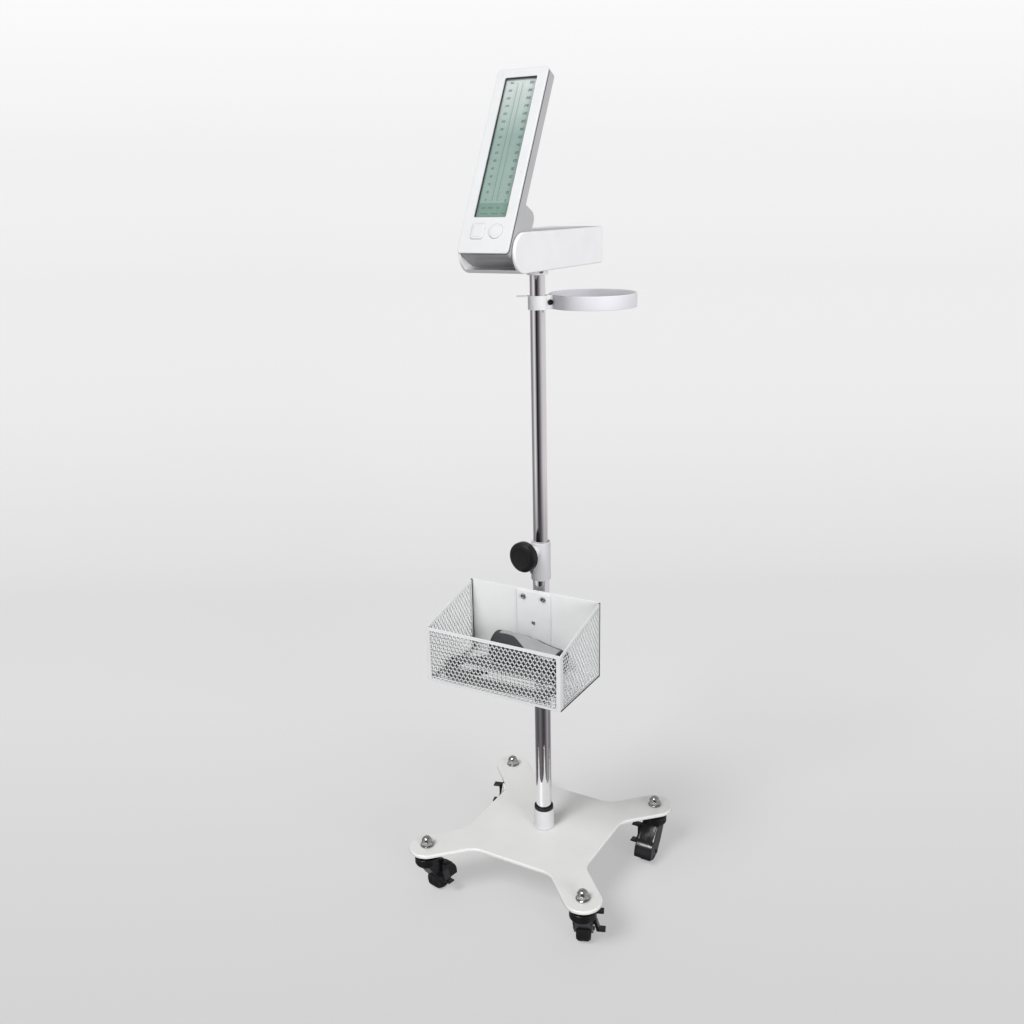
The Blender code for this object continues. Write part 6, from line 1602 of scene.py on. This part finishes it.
@dataclass
class Basket:
    """Five panels: four of expanded metal in plain rims, and a plain back with its bracket."""

    half_width: float = 0.1405
    bottom: float = 0.502
    front_height: float = 0.1086
    back_height: float = 0.1499
    thick: float = 0.0020
    band: float = 0.0075
    lip: float = 0.0055
    front_y: float = -0.1931
    back_y: float = -0.0284
    back_thick: float = 0.0015
    cell: tuple[float, float] = (0.0092, 0.0146)
    strand: float = 0.0016
    strand_depth: float = 0.0010
    # Width of the strips of painted shade on the side panels' edges.
    strip: float = 0.0034

    def net(
        self, width: float, left: float, right: float, cell: tuple[float, float], place: Placing
    ) -> Solid:
        """Expanded metal in a rim, in local X and Y, with its top running from left to right heights.

        Strand j runs up at x = j w, plus or minus w/2 times a wave that goes from -1 to 1 over
        half a cell with short flats where it touches its neighbours.

        Args:
            width: The panel's width.
            left: The height of its left edge.
            right: The height of its right edge.
            cell: The openings' width and height.
            place: Carries the panel to the frame, local Z square to it.

        Returns:
            The panel's surfaces.
        """
        solid = Solid()
        outer = softened(np.array([(0.0, 0.0), (width, 0.0), (width, right), (0.0, left)]), 0.003, 6, True)
        slope = (right - left) / width
        x_low, x_high = self.band, width - self.band
        inner = [(x_low, self.lip), (x_high, self.lip)]
        inner += [(x, left + slope * x - self.lip) for x in (x_high, x_low)]
        hole = softened(np.array(inner), 0.002, 5, True)
        half = self.thick / 2
        rings = rolled_rings(outer, -half, half, half * 0.9, half * 0.9, 5)
        mouth = rolled_rings(hole, -half, half, -half * 0.7, -half * 0.7, 4)
        for part in (rings, mouth):
            solid.grid(place.put(part))
        for end in (0, -1):
            solid.sheet([rings[end, :, :2], mouth[end, :, :2]], rings[end, 0, 2], place)
        self.strands(solid, (x_low, x_high), (self.lip, slope, left - self.lip), cell, place)
        return solid

    def strands(
        self,
        solid: Solid,
        across: tuple[float, float],
        tall: tuple[float, float, float],
        cell: tuple[float, float],
        place: Placing,
    ) -> None:
        """Adds the net's strands.

        Args:
            solid: What they are added to.
            across: Where the opening starts and ends in local X.
            tall: The opening's lower height, its upper edge's slope, and that edge's height at X 0.
            cell: The openings' width and height.
            place: Carries the panel to the frame.
        """
        x_low, x_high = across
        low, slope, rise = tall
        count = int(round((x_high - x_low) / (cell[0] / 2)))
        pitch = (x_high - x_low) / count
        section = np.array([(-0.5, -0.5), (0.5, -0.5), (0.5, 0.5), (-0.5, 0.5)]) * (self.strand, self.strand_depth)
        for index in range(count + 1):
            x = x_low + index * pitch
            top = rise + slope * x + 0.001
            line_y = np.append(np.arange(low - 0.001, top - 0.0005, cell[1] / 10), top)
            share = np.mod((line_y - low) / cell[1], 1.0)
            wave = np.clip(1.25 * (np.abs(share * 2 - 1) * 2 - 1), -1.0, 1.0)
            side = 1 if index % 2 == 0 else -1
            line_x = np.clip(x + side * wave * pitch / 2, x_low - 0.0005, x_high + 0.0005)
            path = np.column_stack([line_x, line_y, np.zeros_like(line_x)])
            solid.grid(place.put(swept(path, section)), caps=True)

    def build(self) -> None:
        """Builds the panels, the bracket and its fasteners, and dark strips of painted shade on the side panels' edges.
        """
        front_axes = np.array([[1.0, 0.0, 0.0], [0.0, 0.0, -1.0], [0.0, 1.0, 0.0]])
        side_axes = np.array([[0.0, 0.0, 1.0], [1.0, 0.0, 0.0], [0.0, 1.0, 0.0]])
        half = self.thick / 2
        width = 2 * self.half_width
        front = Placing(np.array([-self.half_width, self.front_y + half, self.bottom]), front_axes)
        near = self.front_y + self.thick + 0.0003
        far = self.back_y - self.back_thick - 0.0003
        made = {Side.FRONT: self.net(width, self.front_height, self.front_height, self.cell, front)}
        for side, way in ((Side.LEFT, -1), (Side.RIGHT, 1)):
            place = Placing(np.array([way * (self.half_width - half), near, self.bottom]), side_axes)
            made[side] = self.net(far - near, self.front_height, self.back_height, self.cell, place)
        edge = self.thick + 0.0003
        floor_width = width - 2 * edge
        flat = Placing(np.array([-floor_width / 2, near, self.bottom + 0.0003 + half]))
        made[Side.FLOOR] = self.net(floor_width, far - near, far - near, self.cell, flat)
        for side, solid in made.items():
            name = side.value
            wear(solid.build(f"{name}_look", [NET_COAT]), "base", "white_coat", name)
        self.back(front_axes)
        self.bracket(front_axes)
        # Dark strips of painted shade along each side panel's back and bottom edges, where the panels fall in shade.
        strips = Solid()
        long, tall, wide = far - near, self.back_height, self.strip
        for way in (-1, 1):
            place = Placing(np.array([way * (self.half_width - half), near, self.bottom]), side_axes)
            for size, centre in (((wide, tall), (long - wide / 2, tall / 2)), ((long, wide), (long / 2, wide / 2))):
                strips.slab(round_box(*size, 0.0005, centre, 3), -half - 0.0002, half + 0.0002, place, 0.0002)
        wear(strips.build("basket_edge_strips", [EDGE_SHADE_PAINT]), "base", "white_coat")

    def back(self, axes: Array) -> None:
        """The plain back panel with a rolled top edge."""
        width = 2 * self.half_width
        outline = round_box(width, self.back_height, self.band / 2, (0.0, self.back_height / 2), 8)
        holes = tuple(circle((x, 0.637 - self.bottom), 0.0033, 24) for x in (-0.0215, 0.0215))
        place = Placing(np.array([0.0, self.back_y, self.bottom]), axes)
        solid = Solid()
        solid.slab(outline, 0.0, self.back_thick, place, 0.0006, holes=holes)
        wear(solid.build("basket_back_look", [BACK_COAT]), "base", "white_coat", "basket_back")

    def bracket(self, axes: Array) -> None:
        """The stiffening plate, the saddle on the tube, two bolts and a screw."""
        low, high = reach_of("bracket_plate")
        outline = round_box(high[0] - low[0], high[2] - low[2], 0.004, (0.0, (low[2] + high[2]) / 2), 8)
        holes = tuple(circle((x, 0.637), 0.0033, 24) for x in (-0.0215, 0.0215))
        plate = Solid()
        place = Placing(np.array([0.0, high[1], 0.0]), axes)
        plate.slab(outline, 0.0, high[1] - low[1], place, 0.0007, holes=holes)
        # The bracket plate wears the lighter copy of the white coat: painted light.
        wear(plate.build("bracket_plate_look", [LIT_BRACKET_COAT]), "base", "white_coat", "bracket_plate")
        wear(refined("pole_saddle", 0.0010, WHITE_COAT), "base", "white_coat", "pole_saddle")
        face = low[1] - 0.0003
        for node, x, z, size in (
            ("bracket_bolt_left", -0.0215, 0.637, (0.003, 0.0135, 0.0052, 0.0035, 0.0024)),
            ("bracket_bolt_right", 0.0215, 0.637, (0.003, 0.0135, 0.0052, 0.0035, 0.0024)),
            ("bracket_screw", 0.0, 0.585, (0.002, 0.0095, 0.0036, 0.0022, 0.0015)),
        ):
            solid = Solid()
            spot = np.array([x, face, z])
            solid.turn(pin_profile(*size)[::-1], Placing.along(spot, (0.0, -1.0, 0.0)), steps=40)
            wear(solid.build(f"{node}_look", [STEEL]), "base", "steel", node)


@dataclass
class Cuff:
    """The arm cuff rolled up on itself: thick cloth in a spiral, bound edges and a patch of pile."""

    length: float = 0.140
    centre_x: float = 0.0105
    centre_y: float = -0.0755
    radius: float = 0.0365
    thick: float = 0.0055
    pitch: float = 0.0064
    turns: float = 2.5
    start: float = math.radians(-120)
    floor: float = 0.5038
    slump: float = 0.24

    def layer(self, turns: Array | float) -> Array | float:
        """Radius of the cloth's middle, this many turns in from its outer end."""
        return self.radius - self.thick / 2 - self.pitch * turns

    def spiral(self, steps: int = 40) -> tuple[Array, Array]:
        """The turn and the side of each point of the end view, out along one face and back along the other."""
        turns = np.linspace(0.0, self.turns, int(self.turns * steps) + 1)
        cap = np.linspace(-math.pi / 2, math.pi / 2, 7)[1:-1]
        over = self.thick / 2 / (math.tau * self.radius)
        inner_over = self.thick / 2 / (math.tau * self.layer(self.turns))
        ends_in = self.turns + inner_over * np.cos(cap)
        ends_out = -over * np.cos(cap)
        turn = np.concatenate([turns, ends_in, turns[::-1], ends_out])
        side = np.concatenate([np.ones(len(turns)), -np.sin(cap), -np.ones(len(turns)), np.sin(cap)])
        return turn, side

    def height(self) -> float:
        """Height of the roll's middle where the plain roll lies on the floor net, as in the part."""
        turns = np.linspace(0.0, self.turns, int(self.turns * 24) + 1)
        angle = self.start + turns * math.tau
        lowest = min(((self.layer(turns) + way * self.thick / 2) * np.sin(angle)).min() for way in (-1, 1))
        return self.floor + 0.0003 - lowest

    def surface(self, share: Array, turn: Array, side: Array | float, puff: float) -> Array:
        """Points of the roll's surface.

        The radius is the layer's plus half the thickness on its side. The thickness falls off
        towards both ends, three slow waves crease the cloth, and the roll sinks to the right.

        Args:
            share: How far along the roll, from 0 to 1, as a column.
            turn: Turns in from the cloth's outer end.
            side: 1 for the outer face, -1 for the inner one.
            puff: How far it stands off the cloth.
        """
        ends = np.minimum(share, 1 - share) * self.length
        full = 0.55 + 0.45 * np.clip(ends / 0.006, 0.0, 1.0) ** 0.6
        angle = self.start + turn * math.tau
        crease = 0.00055 * np.sin(share * 17.0 + turn * 5.3) * np.sin(angle * 3.0 + share * 9.0)
        crease = crease + 0.00035 * np.sin(share * 41.0 - turn * 11.0 + 1.3)
        crease = crease * np.clip(0.25 + np.sin(angle) * 0.75 + 0.3, 0.0, 1.0)
        radius = self.layer(turn) + side * (self.thick / 2 * full + puff) + crease
        press = 1.0 - self.slump * smooth_step(share, 0.35, 1.0)
        x = self.centre_x + (share - 0.5) * self.length + 0 * turn
        y = self.centre_y + radius * np.cos(angle) * (1.0 + 0.25 * (1.0 - press))
        z = self.floor + (self.height() - self.floor + radius * np.sin(angle)) * press
        return np.stack([x, y, np.maximum(z, self.floor + 0.0002)], axis=2)

    def grid(self, low: float, high: float, columns: int, puff: float = 0.0) -> Array:
        """The whole end view carried between two shares of the roll's length, as a grid."""
        return self.surface(np.linspace(low, high, columns)[:, None], *self.spiral(), puff)

    def pile(self, low: float, high: float, puff: float) -> Array:
        """The strip of pile: its upper edge climbs to the roll's top towards the right."""
        share = np.linspace(low, high, 30)[:, None]
        width = 0.065 + 0.115 * smooth_step(share, 0.22, 0.62)
        return self.surface(share, 0.535 + width * np.linspace(0.0, 1.0, 12), 1.0, puff)

    def build(self) -> None:
        solid = Solid()
        grid = self.grid(0.0, 1.0, 64)
        solid.grid(grid, caps=False, uv=(1.6, 0.28))
        solid.faces(grid[0], np.arange(grid.shape[1])[None, ::-1])
        solid.faces(grid[-1], np.arange(grid.shape[1])[None])
        for low, high in ((-0.004, 0.028), (0.972, 1.004)):
            band = self.grid(max(low, 0.0), min(high, 1.0), 6, 0.0005)
            solid.grid(band, slot=1, uv=(1.6, 0.02), caps=True)
        top, under = self.pile(0.07, 0.965, 0.0007), self.pile(0.07, 0.965, -0.0003)
        solid.grid(np.concatenate([top, under[:, ::-1]], axis=1), slot=2, uv=(0.3, 0.2), caps=True)
        cuff = solid.build("arm_cuff_look", [CUFF_CLOTH, BINDING, LOOP_PILE], 50.0)
        wear(cuff, "cuff", "cuff_cloth", "arm_cuff")


@dataclass
class Hose:
    """The air hose: out of the cuff, round to the hank, up through its loops to the plug."""

    cuff: Cuff
    diameter: float = 0.008
    rise: float = 0.0096
    loops: float = 2.25
    end_steps: int = 8
    run_steps: int = 4
    hank_x: float = -0.008
    hank_y: float = -0.147
    run: float = 0.170
    radius: float = 0.029
    bulge: float = 0.0012
    lead_steps: int = 7
    tail_rise: float = 0.0016

    def exit(self) -> Array:
        """Where the hose leaves the cuff's left end."""
        turns = ((math.radians(-90) - self.cuff.start) / math.tau) % 1 + 1
        height = self.cuff.height() - self.cuff.layer(turns)
        return np.array([self.cuff.centre_x - self.cuff.length / 2 - 0.0003, self.cuff.centre_y, height])

    def loop(self) -> Array:
        """One loop of the hank in X and Y, as runs with round ends."""
        half = self.run / 2
        left, right = (self.hank_x - half, self.hank_y), (self.hank_x + half, self.hank_y)
        share = np.linspace(0.0, 1.0, self.run_steps + 2)[1:-1]
        swell = self.radius + self.bulge * np.sin(math.pi * share)
        near = np.column_stack([left[0] + share * self.run, self.hank_y - swell])
        far = np.column_stack([left[0] + share[::-1] * self.run, self.hank_y + swell[::-1]])
        quarter = self.end_steps // 2
        first = arc(left, self.radius, 180, 270, quarter)
        bend = arc(right, self.radius, -90, 90, self.end_steps)
        last = arc(left, self.radius, 90, 180, quarter)[:-1]
        return np.concatenate([first, near, bend, far, last])

    def points(self) -> Array:
        """The part's own points of the hose's middle line."""
        start = self.exit()
        base = self.cuff.floor + 0.0003 + self.diameter / 2
        straight = start[0] - self.diameter
        join = self.hank_x - self.run / 2 - self.radius
        share = np.linspace(0.0, 1.0, self.lead_steps + 1)[1:-1]
        angle = share * math.pi / 2
        ease = share * share * (3 - 2 * share)
        lead = np.column_stack(
            [
                straight - (straight - join) * np.sin(angle),
                self.hank_y + (start[1] - self.hank_y) * np.cos(angle),
                start[2] + (base - start[2]) * ease,
            ]
        )
        loop = self.loop()
        index = np.arange(int(round(self.loops * len(loop))))
        hank = lifted(loop[index % len(loop)], base + self.rise * index / len(loop))
        last = hank[-1] + (self.diameter, 0.0, self.tail_rise)
        return np.concatenate([[start, (straight, start[1], start[2])], lead, hank, [last]])

    def build(self) -> None:
        route = self.points()
        curve = bpy.data.curves.new("air_hose_look", "CURVE")
        curve.dimensions = "3D"
        spline = curve.splines.new("POLY")
        fine = rounded_route(route)
        spline.points.add(len(fine) - 1)
        spline.points.foreach_set("co", np.column_stack([fine, np.ones(len(fine))]).ravel())
        curve.bevel_depth = self.diameter / 2
        curve.bevel_resolution = 6
        curve.use_fill_caps = True
        curve.materials.append(HOSE_SKIN.material())
        hose = bpy.data.objects.new("air_hose_look", curve)
        bpy.context.scene.collection.objects.link(hose)
        wear(hose, "cuff", "hose_grey", "air_hose")
        way = route[-1] - route[-2]
        way = way / np.linalg.norm(way)
        place = Placing.along(route[-1] + way * 0.0003, way)
        rows = [
            (0.0, 0.0),
            (0.0042, 0.0),
            (0.0055, 0.0045),
            (0.0050, 0.0065),
            (0.0055, 0.0085),
            (0.0050, 0.0105),
            (0.0055, 0.0125),
            (0.0055, 0.0195),
            (0.0046, 0.0220),
            (0.0030, 0.0222),
            (0.0030, 0.0320),
            (0.0016, 0.0320),
            (0.0016, 0.0260),
            (0.0, 0.0260),
        ]
        solid = Solid()
        solid.turn(softened(np.array(rows), 0.0008, 3), place, steps=48)
        plug = wear(solid.build("hose_plug_look", [DULL_BLACK]), "cuff", "black_plastic", "hose_plug")


def rounded_route(route: Array, steps: int = 5) -> Array:
    """A smooth line through a route's points.

    Between two points it is the cubic whose ends have the slopes of their neighbours' chords.

    Args:
        route: Rows of three.
        steps: Pieces between two points.

    Returns:
        Rows of three.
    """
    before = np.concatenate([route[:1], route[:-2]])
    first, second = route[:-1], route[1:]
    after = np.concatenate([route[2:], route[-1:]])
    slope_first, slope_second = (second - before) / 2, (after - first) / 2
    t = np.arange(steps)[None, :, None] / steps
    a, b, c, d = (v[:, None] for v in (first, second, slope_first, slope_second))
    line = (2 * t**3 - 3 * t**2 + 1) * a + (3 * t**2 - 2 * t**3) * b + (t**3 - 2 * t**2 + t) * c + (t**3 - t**2) * d
    return np.concatenate([line.reshape(-1, 3), route[-1:]])


@dataclass
class Studio:
    """The pale sweep, the soft lights, the world that chrome mirrors, and the camera."""

    position: Point = (0.8869, -1.6319, 1.3744)
    yaw: float = 0.5267
    pitch: float = 0.2993
    roll: float = 0.021
    focal: float = 1022.77
    pixels: float = 1024.0
    room: float = 0.42
    blush: float = 0.965

    def camera(self) -> None:
        """The photo's camera: its axes follow from yaw, pitch and roll."""
        sy, cy = math.sin(self.yaw), math.cos(self.yaw)
        sp, cp = math.sin(self.pitch), math.cos(self.pitch)
        forward = np.array([-sy * cp, cy * cp, -sp])
        right = np.array([cy, sy, 0.0])
        down = np.cross(forward, right)
        sr, cr = math.sin(self.roll), math.cos(self.roll)
        turned_right = right * cr + down * sr
        turned_down = -right * sr + down * cr
        lens = bpy.data.cameras.new("photo_camera")
        lens.sensor_width = 36.0
        lens.lens = self.focal / self.pixels * lens.sensor_width
        lens.clip_start = 0.05
        camera = bpy.data.objects.new("photo_camera", lens)
        axes = np.stack([turned_right, -turned_down, -forward], axis=1)
        matrix = np.eye(4)
        matrix[:3, :3] = axes
        matrix[:3, 3] = self.position
        camera.matrix_world = Matrix(matrix.tolist())
        bpy.context.scene.collection.objects.link(camera)
        bpy.context.scene.camera = camera

    def sweep(self) -> None:
        """A floor that curves up into a wall behind the object, drawn across the view."""
        wide, back, bend = 14.0, 3.2, 1.6
        floor = np.array([(-9.0, 0.0), (back - bend, 0.0)])
        curve = arc((back - bend, bend), bend, -90, 0, 24)
        wall = np.array([(back, 7.0)])
        line = np.concatenate([floor, curve[1:], wall])
        across = np.array([-wide, 0.0, wide])
        grid = np.stack([np.broadcast_to(v, (len(line), 3)) for v in (across, line[:, :1], line[:, 1:])], axis=2)
        solid = Solid()
        solid.grid(grid @ turn_z(self.yaw).T, wrap=False)
        sweep = solid.build("studio_sweep", [Backdrop("studio_sweep", (0.8, 0.8, 0.8), 0.9, yaw=self.yaw)])
        sweep.visible_glossy = False
        sweep.visible_diffuse = False

    def sun(self, name: str, way: Point, strength: float, spread: float, glints: bool = True) -> None:
        """A soft sun.

        Args:
            name: Its name.
            way: The direction towards it.
            strength: Its strength.
            spread: Its angular size in degrees.
            glints: Whether gloss shows it.
        """
        lamp = bpy.data.lights.new(name, "SUN")
        lamp.energy = strength
        lamp.angle = math.radians(spread)
        lamp_object = bpy.data.objects.new(name, lamp)
        lamp_object.rotation_euler = Vector(way).to_track_quat("Z", "Y").to_euler()
        lamp_object.visible_glossy = glints
        bpy.context.scene.collection.objects.link(lamp_object)

    def ramp(self, graph: Graph, share: bpy.types.NodeSocket, stops: tuple) -> bpy.types.NodeSocket:
        """Grey values over the compass, from stops of degrees and brightness."""
        node = graph.add("ShaderNodeValToRGB", {"Fac": share})
        elements = node.color_ramp.elements
        while len(elements) < len(stops):
            elements.new(0.5)
        for element, (degrees, value) in zip(elements, stops):
            element.position = (degrees + 180.0) / 360.0
            element.color = (value, value * self.blush, value, 1.0)
        return node.outputs[0]

    def world(self) -> None:
        """An even pale room, in which mirrors see dark flags beside bright boxes round the compass."""
        world = bpy.data.worlds.new("studio_room")
        bpy.context.scene.world = world
        world.use_nodes = True
        graph = Graph(world.node_tree)
        place = graph.add("ShaderNodeTexCoord").outputs["Generated"]
        parts = graph.add("ShaderNodeSeparateXYZ", {"Vector": place}).outputs
        angle = graph.add("ShaderNodeMath", {0: parts["Y"], 1: parts["X"]}, operation="ARCTAN2").outputs[0]
        compass = graph.spread(angle, 0.0, 1.0, -math.pi, math.pi)
        level = self.ramp(graph, compass, LEVEL_ROOM)
        low = self.ramp(graph, compass, LOW_ROOM)
        down = graph.spread(parts["Z"], 0.0, 1.0, -0.25, -0.5)
        seen = graph.mixed(down, level, low)
        up = graph.spread(parts["Z"], 0.0, 1.0, 0.15, 0.5)
        seen = graph.mixed(up, seen, (0.42, 0.42, 0.43, 1.0))
        glossy = graph.add("ShaderNodeLightPath").outputs["Is Glossy Ray"]
        even = (self.room, self.room, self.room * 1.01, 1.0)
        colour = graph.mixed(glossy, even, seen)
        direct = graph.add("ShaderNodeLightPath").outputs["Is Camera Ray"]
        colour = graph.mixed(direct, colour, (0.80, 0.80, 0.80, 1.0))
        background = graph.add("ShaderNodeBackground", {"Color": colour, "Strength": 1.0})
        graph.add("ShaderNodeOutputWorld", {"Surface": background.outputs[0]})

    def build(self) -> None:
        """Sets up the whole studio."""
        self.camera()
        self.sweep()
        self.world()
        self.sun("key", (-0.15, -0.62, 0.77), 2.4, 22.0)
        self.sun("fill", (0.87, -0.47, 0.14), 2.35, 34.0, glints=False)
        scene = bpy.context.scene
        scene.view_settings.view_transform = "Standard"
        scene.view_settings.look = "None"


@dataclass(frozen=True)
class Backdrop(Finish):
    """The sweep's paper: paler with distance, and half of its light is its own so that shadows stay soft."""

    yaw: float = 0.0

    def shade(self, graph: Graph, place: bpy.types.NodeSocket) -> bpy.types.Node:
        """Emission and diffuse of one colour, a ramp over depth plus height."""
        turned = graph.add("ShaderNodeVectorRotate", {"Vector": place, "Angle": -self.yaw}, rotation_type="Z_AXIS")
        parts = graph.add("ShaderNodeSeparateXYZ", {"Vector": turned.outputs[0]}).outputs
        run = graph.add("ShaderNodeMath", {0: parts["Y"], 1: parts["Z"]}).outputs[0]
        node = graph.add("ShaderNodeValToRGB", {"Fac": graph.spread(run, 0.0, 1.0, -1.0, 6.0)})
        elements = node.color_ramp.elements
        while len(elements) < len(PAPER):
            elements.new(0.5)
        for element, (distance, value) in zip(elements, PAPER):
            element.position = (distance + 1.0) / 7.0
            element.color = (value, value, value, 1.0)
        glow = graph.add("ShaderNodeEmission", {"Color": node.outputs[0], "Strength": 0.55})
        paper = graph.mixed(1.0, node.outputs[0], (0.42, 0.42, 0.42, 1.0), "MULTIPLY")
        matt = graph.add("ShaderNodeBsdfDiffuse", {"Color": paper})
        return graph.add("ShaderNodeAddShader", {0: glow.outputs[0], 1: matt.outputs[0]})


PAPER = ((-1.0, 0.60), (-0.36, 0.645), (0.78, 0.72), (1.6, 0.71), (2.4, 0.69), (4.1, 0.71), (5.4, 0.84), (6.0, 0.89))
LEVEL_ROOM = (
    (-180.0, 0.19),
    (-150.0, 0.35),
    (-128.0, 0.80),
    (-110.0, 0.50),
    (-90.0, 0.012),
    (-82.0, 0.012),
    (-69.5, 0.045),
    (-53.5, 0.11),
    (-38.5, 0.25),
    (-20.5, 0.48),
    (0.0, 0.63),
    (50.0, 0.66),
    (110.0, 0.70),
    (150.0, 0.40),
    (180.0, 0.19),
)
LOW_ROOM = (
    (-180.0, 0.14),
    (-150.0, 0.085),
    (-128.0, 0.09),
    (-105.0, 0.16),
    (-83.5, 0.12),
    (-62.0, 0.05),
    (-38.0, 0.06),
    (-25.5, 0.10),
    (-9.5, 0.21),
    (6.5, 0.34),
    (25.7, 0.24),
    (46.7, 0.15),
    (78.7, 0.36),
    (140.0, 0.30),
    (180.0, 0.14),
)


def main() -> None:
    """Loads the frame, builds each sub-assembly and the studio."""
    logging.basicConfig(level=logging.INFO, format="%(name)s: %(message)s")
    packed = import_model()
    frame = Frame({joint["name"]: joint for joint in packed["joints"]})
    BasePlate().build()
    for corner in Corner:
        Caster(corner, frame).build()
    Mast(frame).build()
    Hoop().build()
    Cradle().build()
    Head(frame.spot("head_tilt")).build()
    Basket().build()
    cuff = Cuff()
    cuff.build()
    Hose(cuff).build()
    Studio().build()


if __name__ == "__main__":
    main()
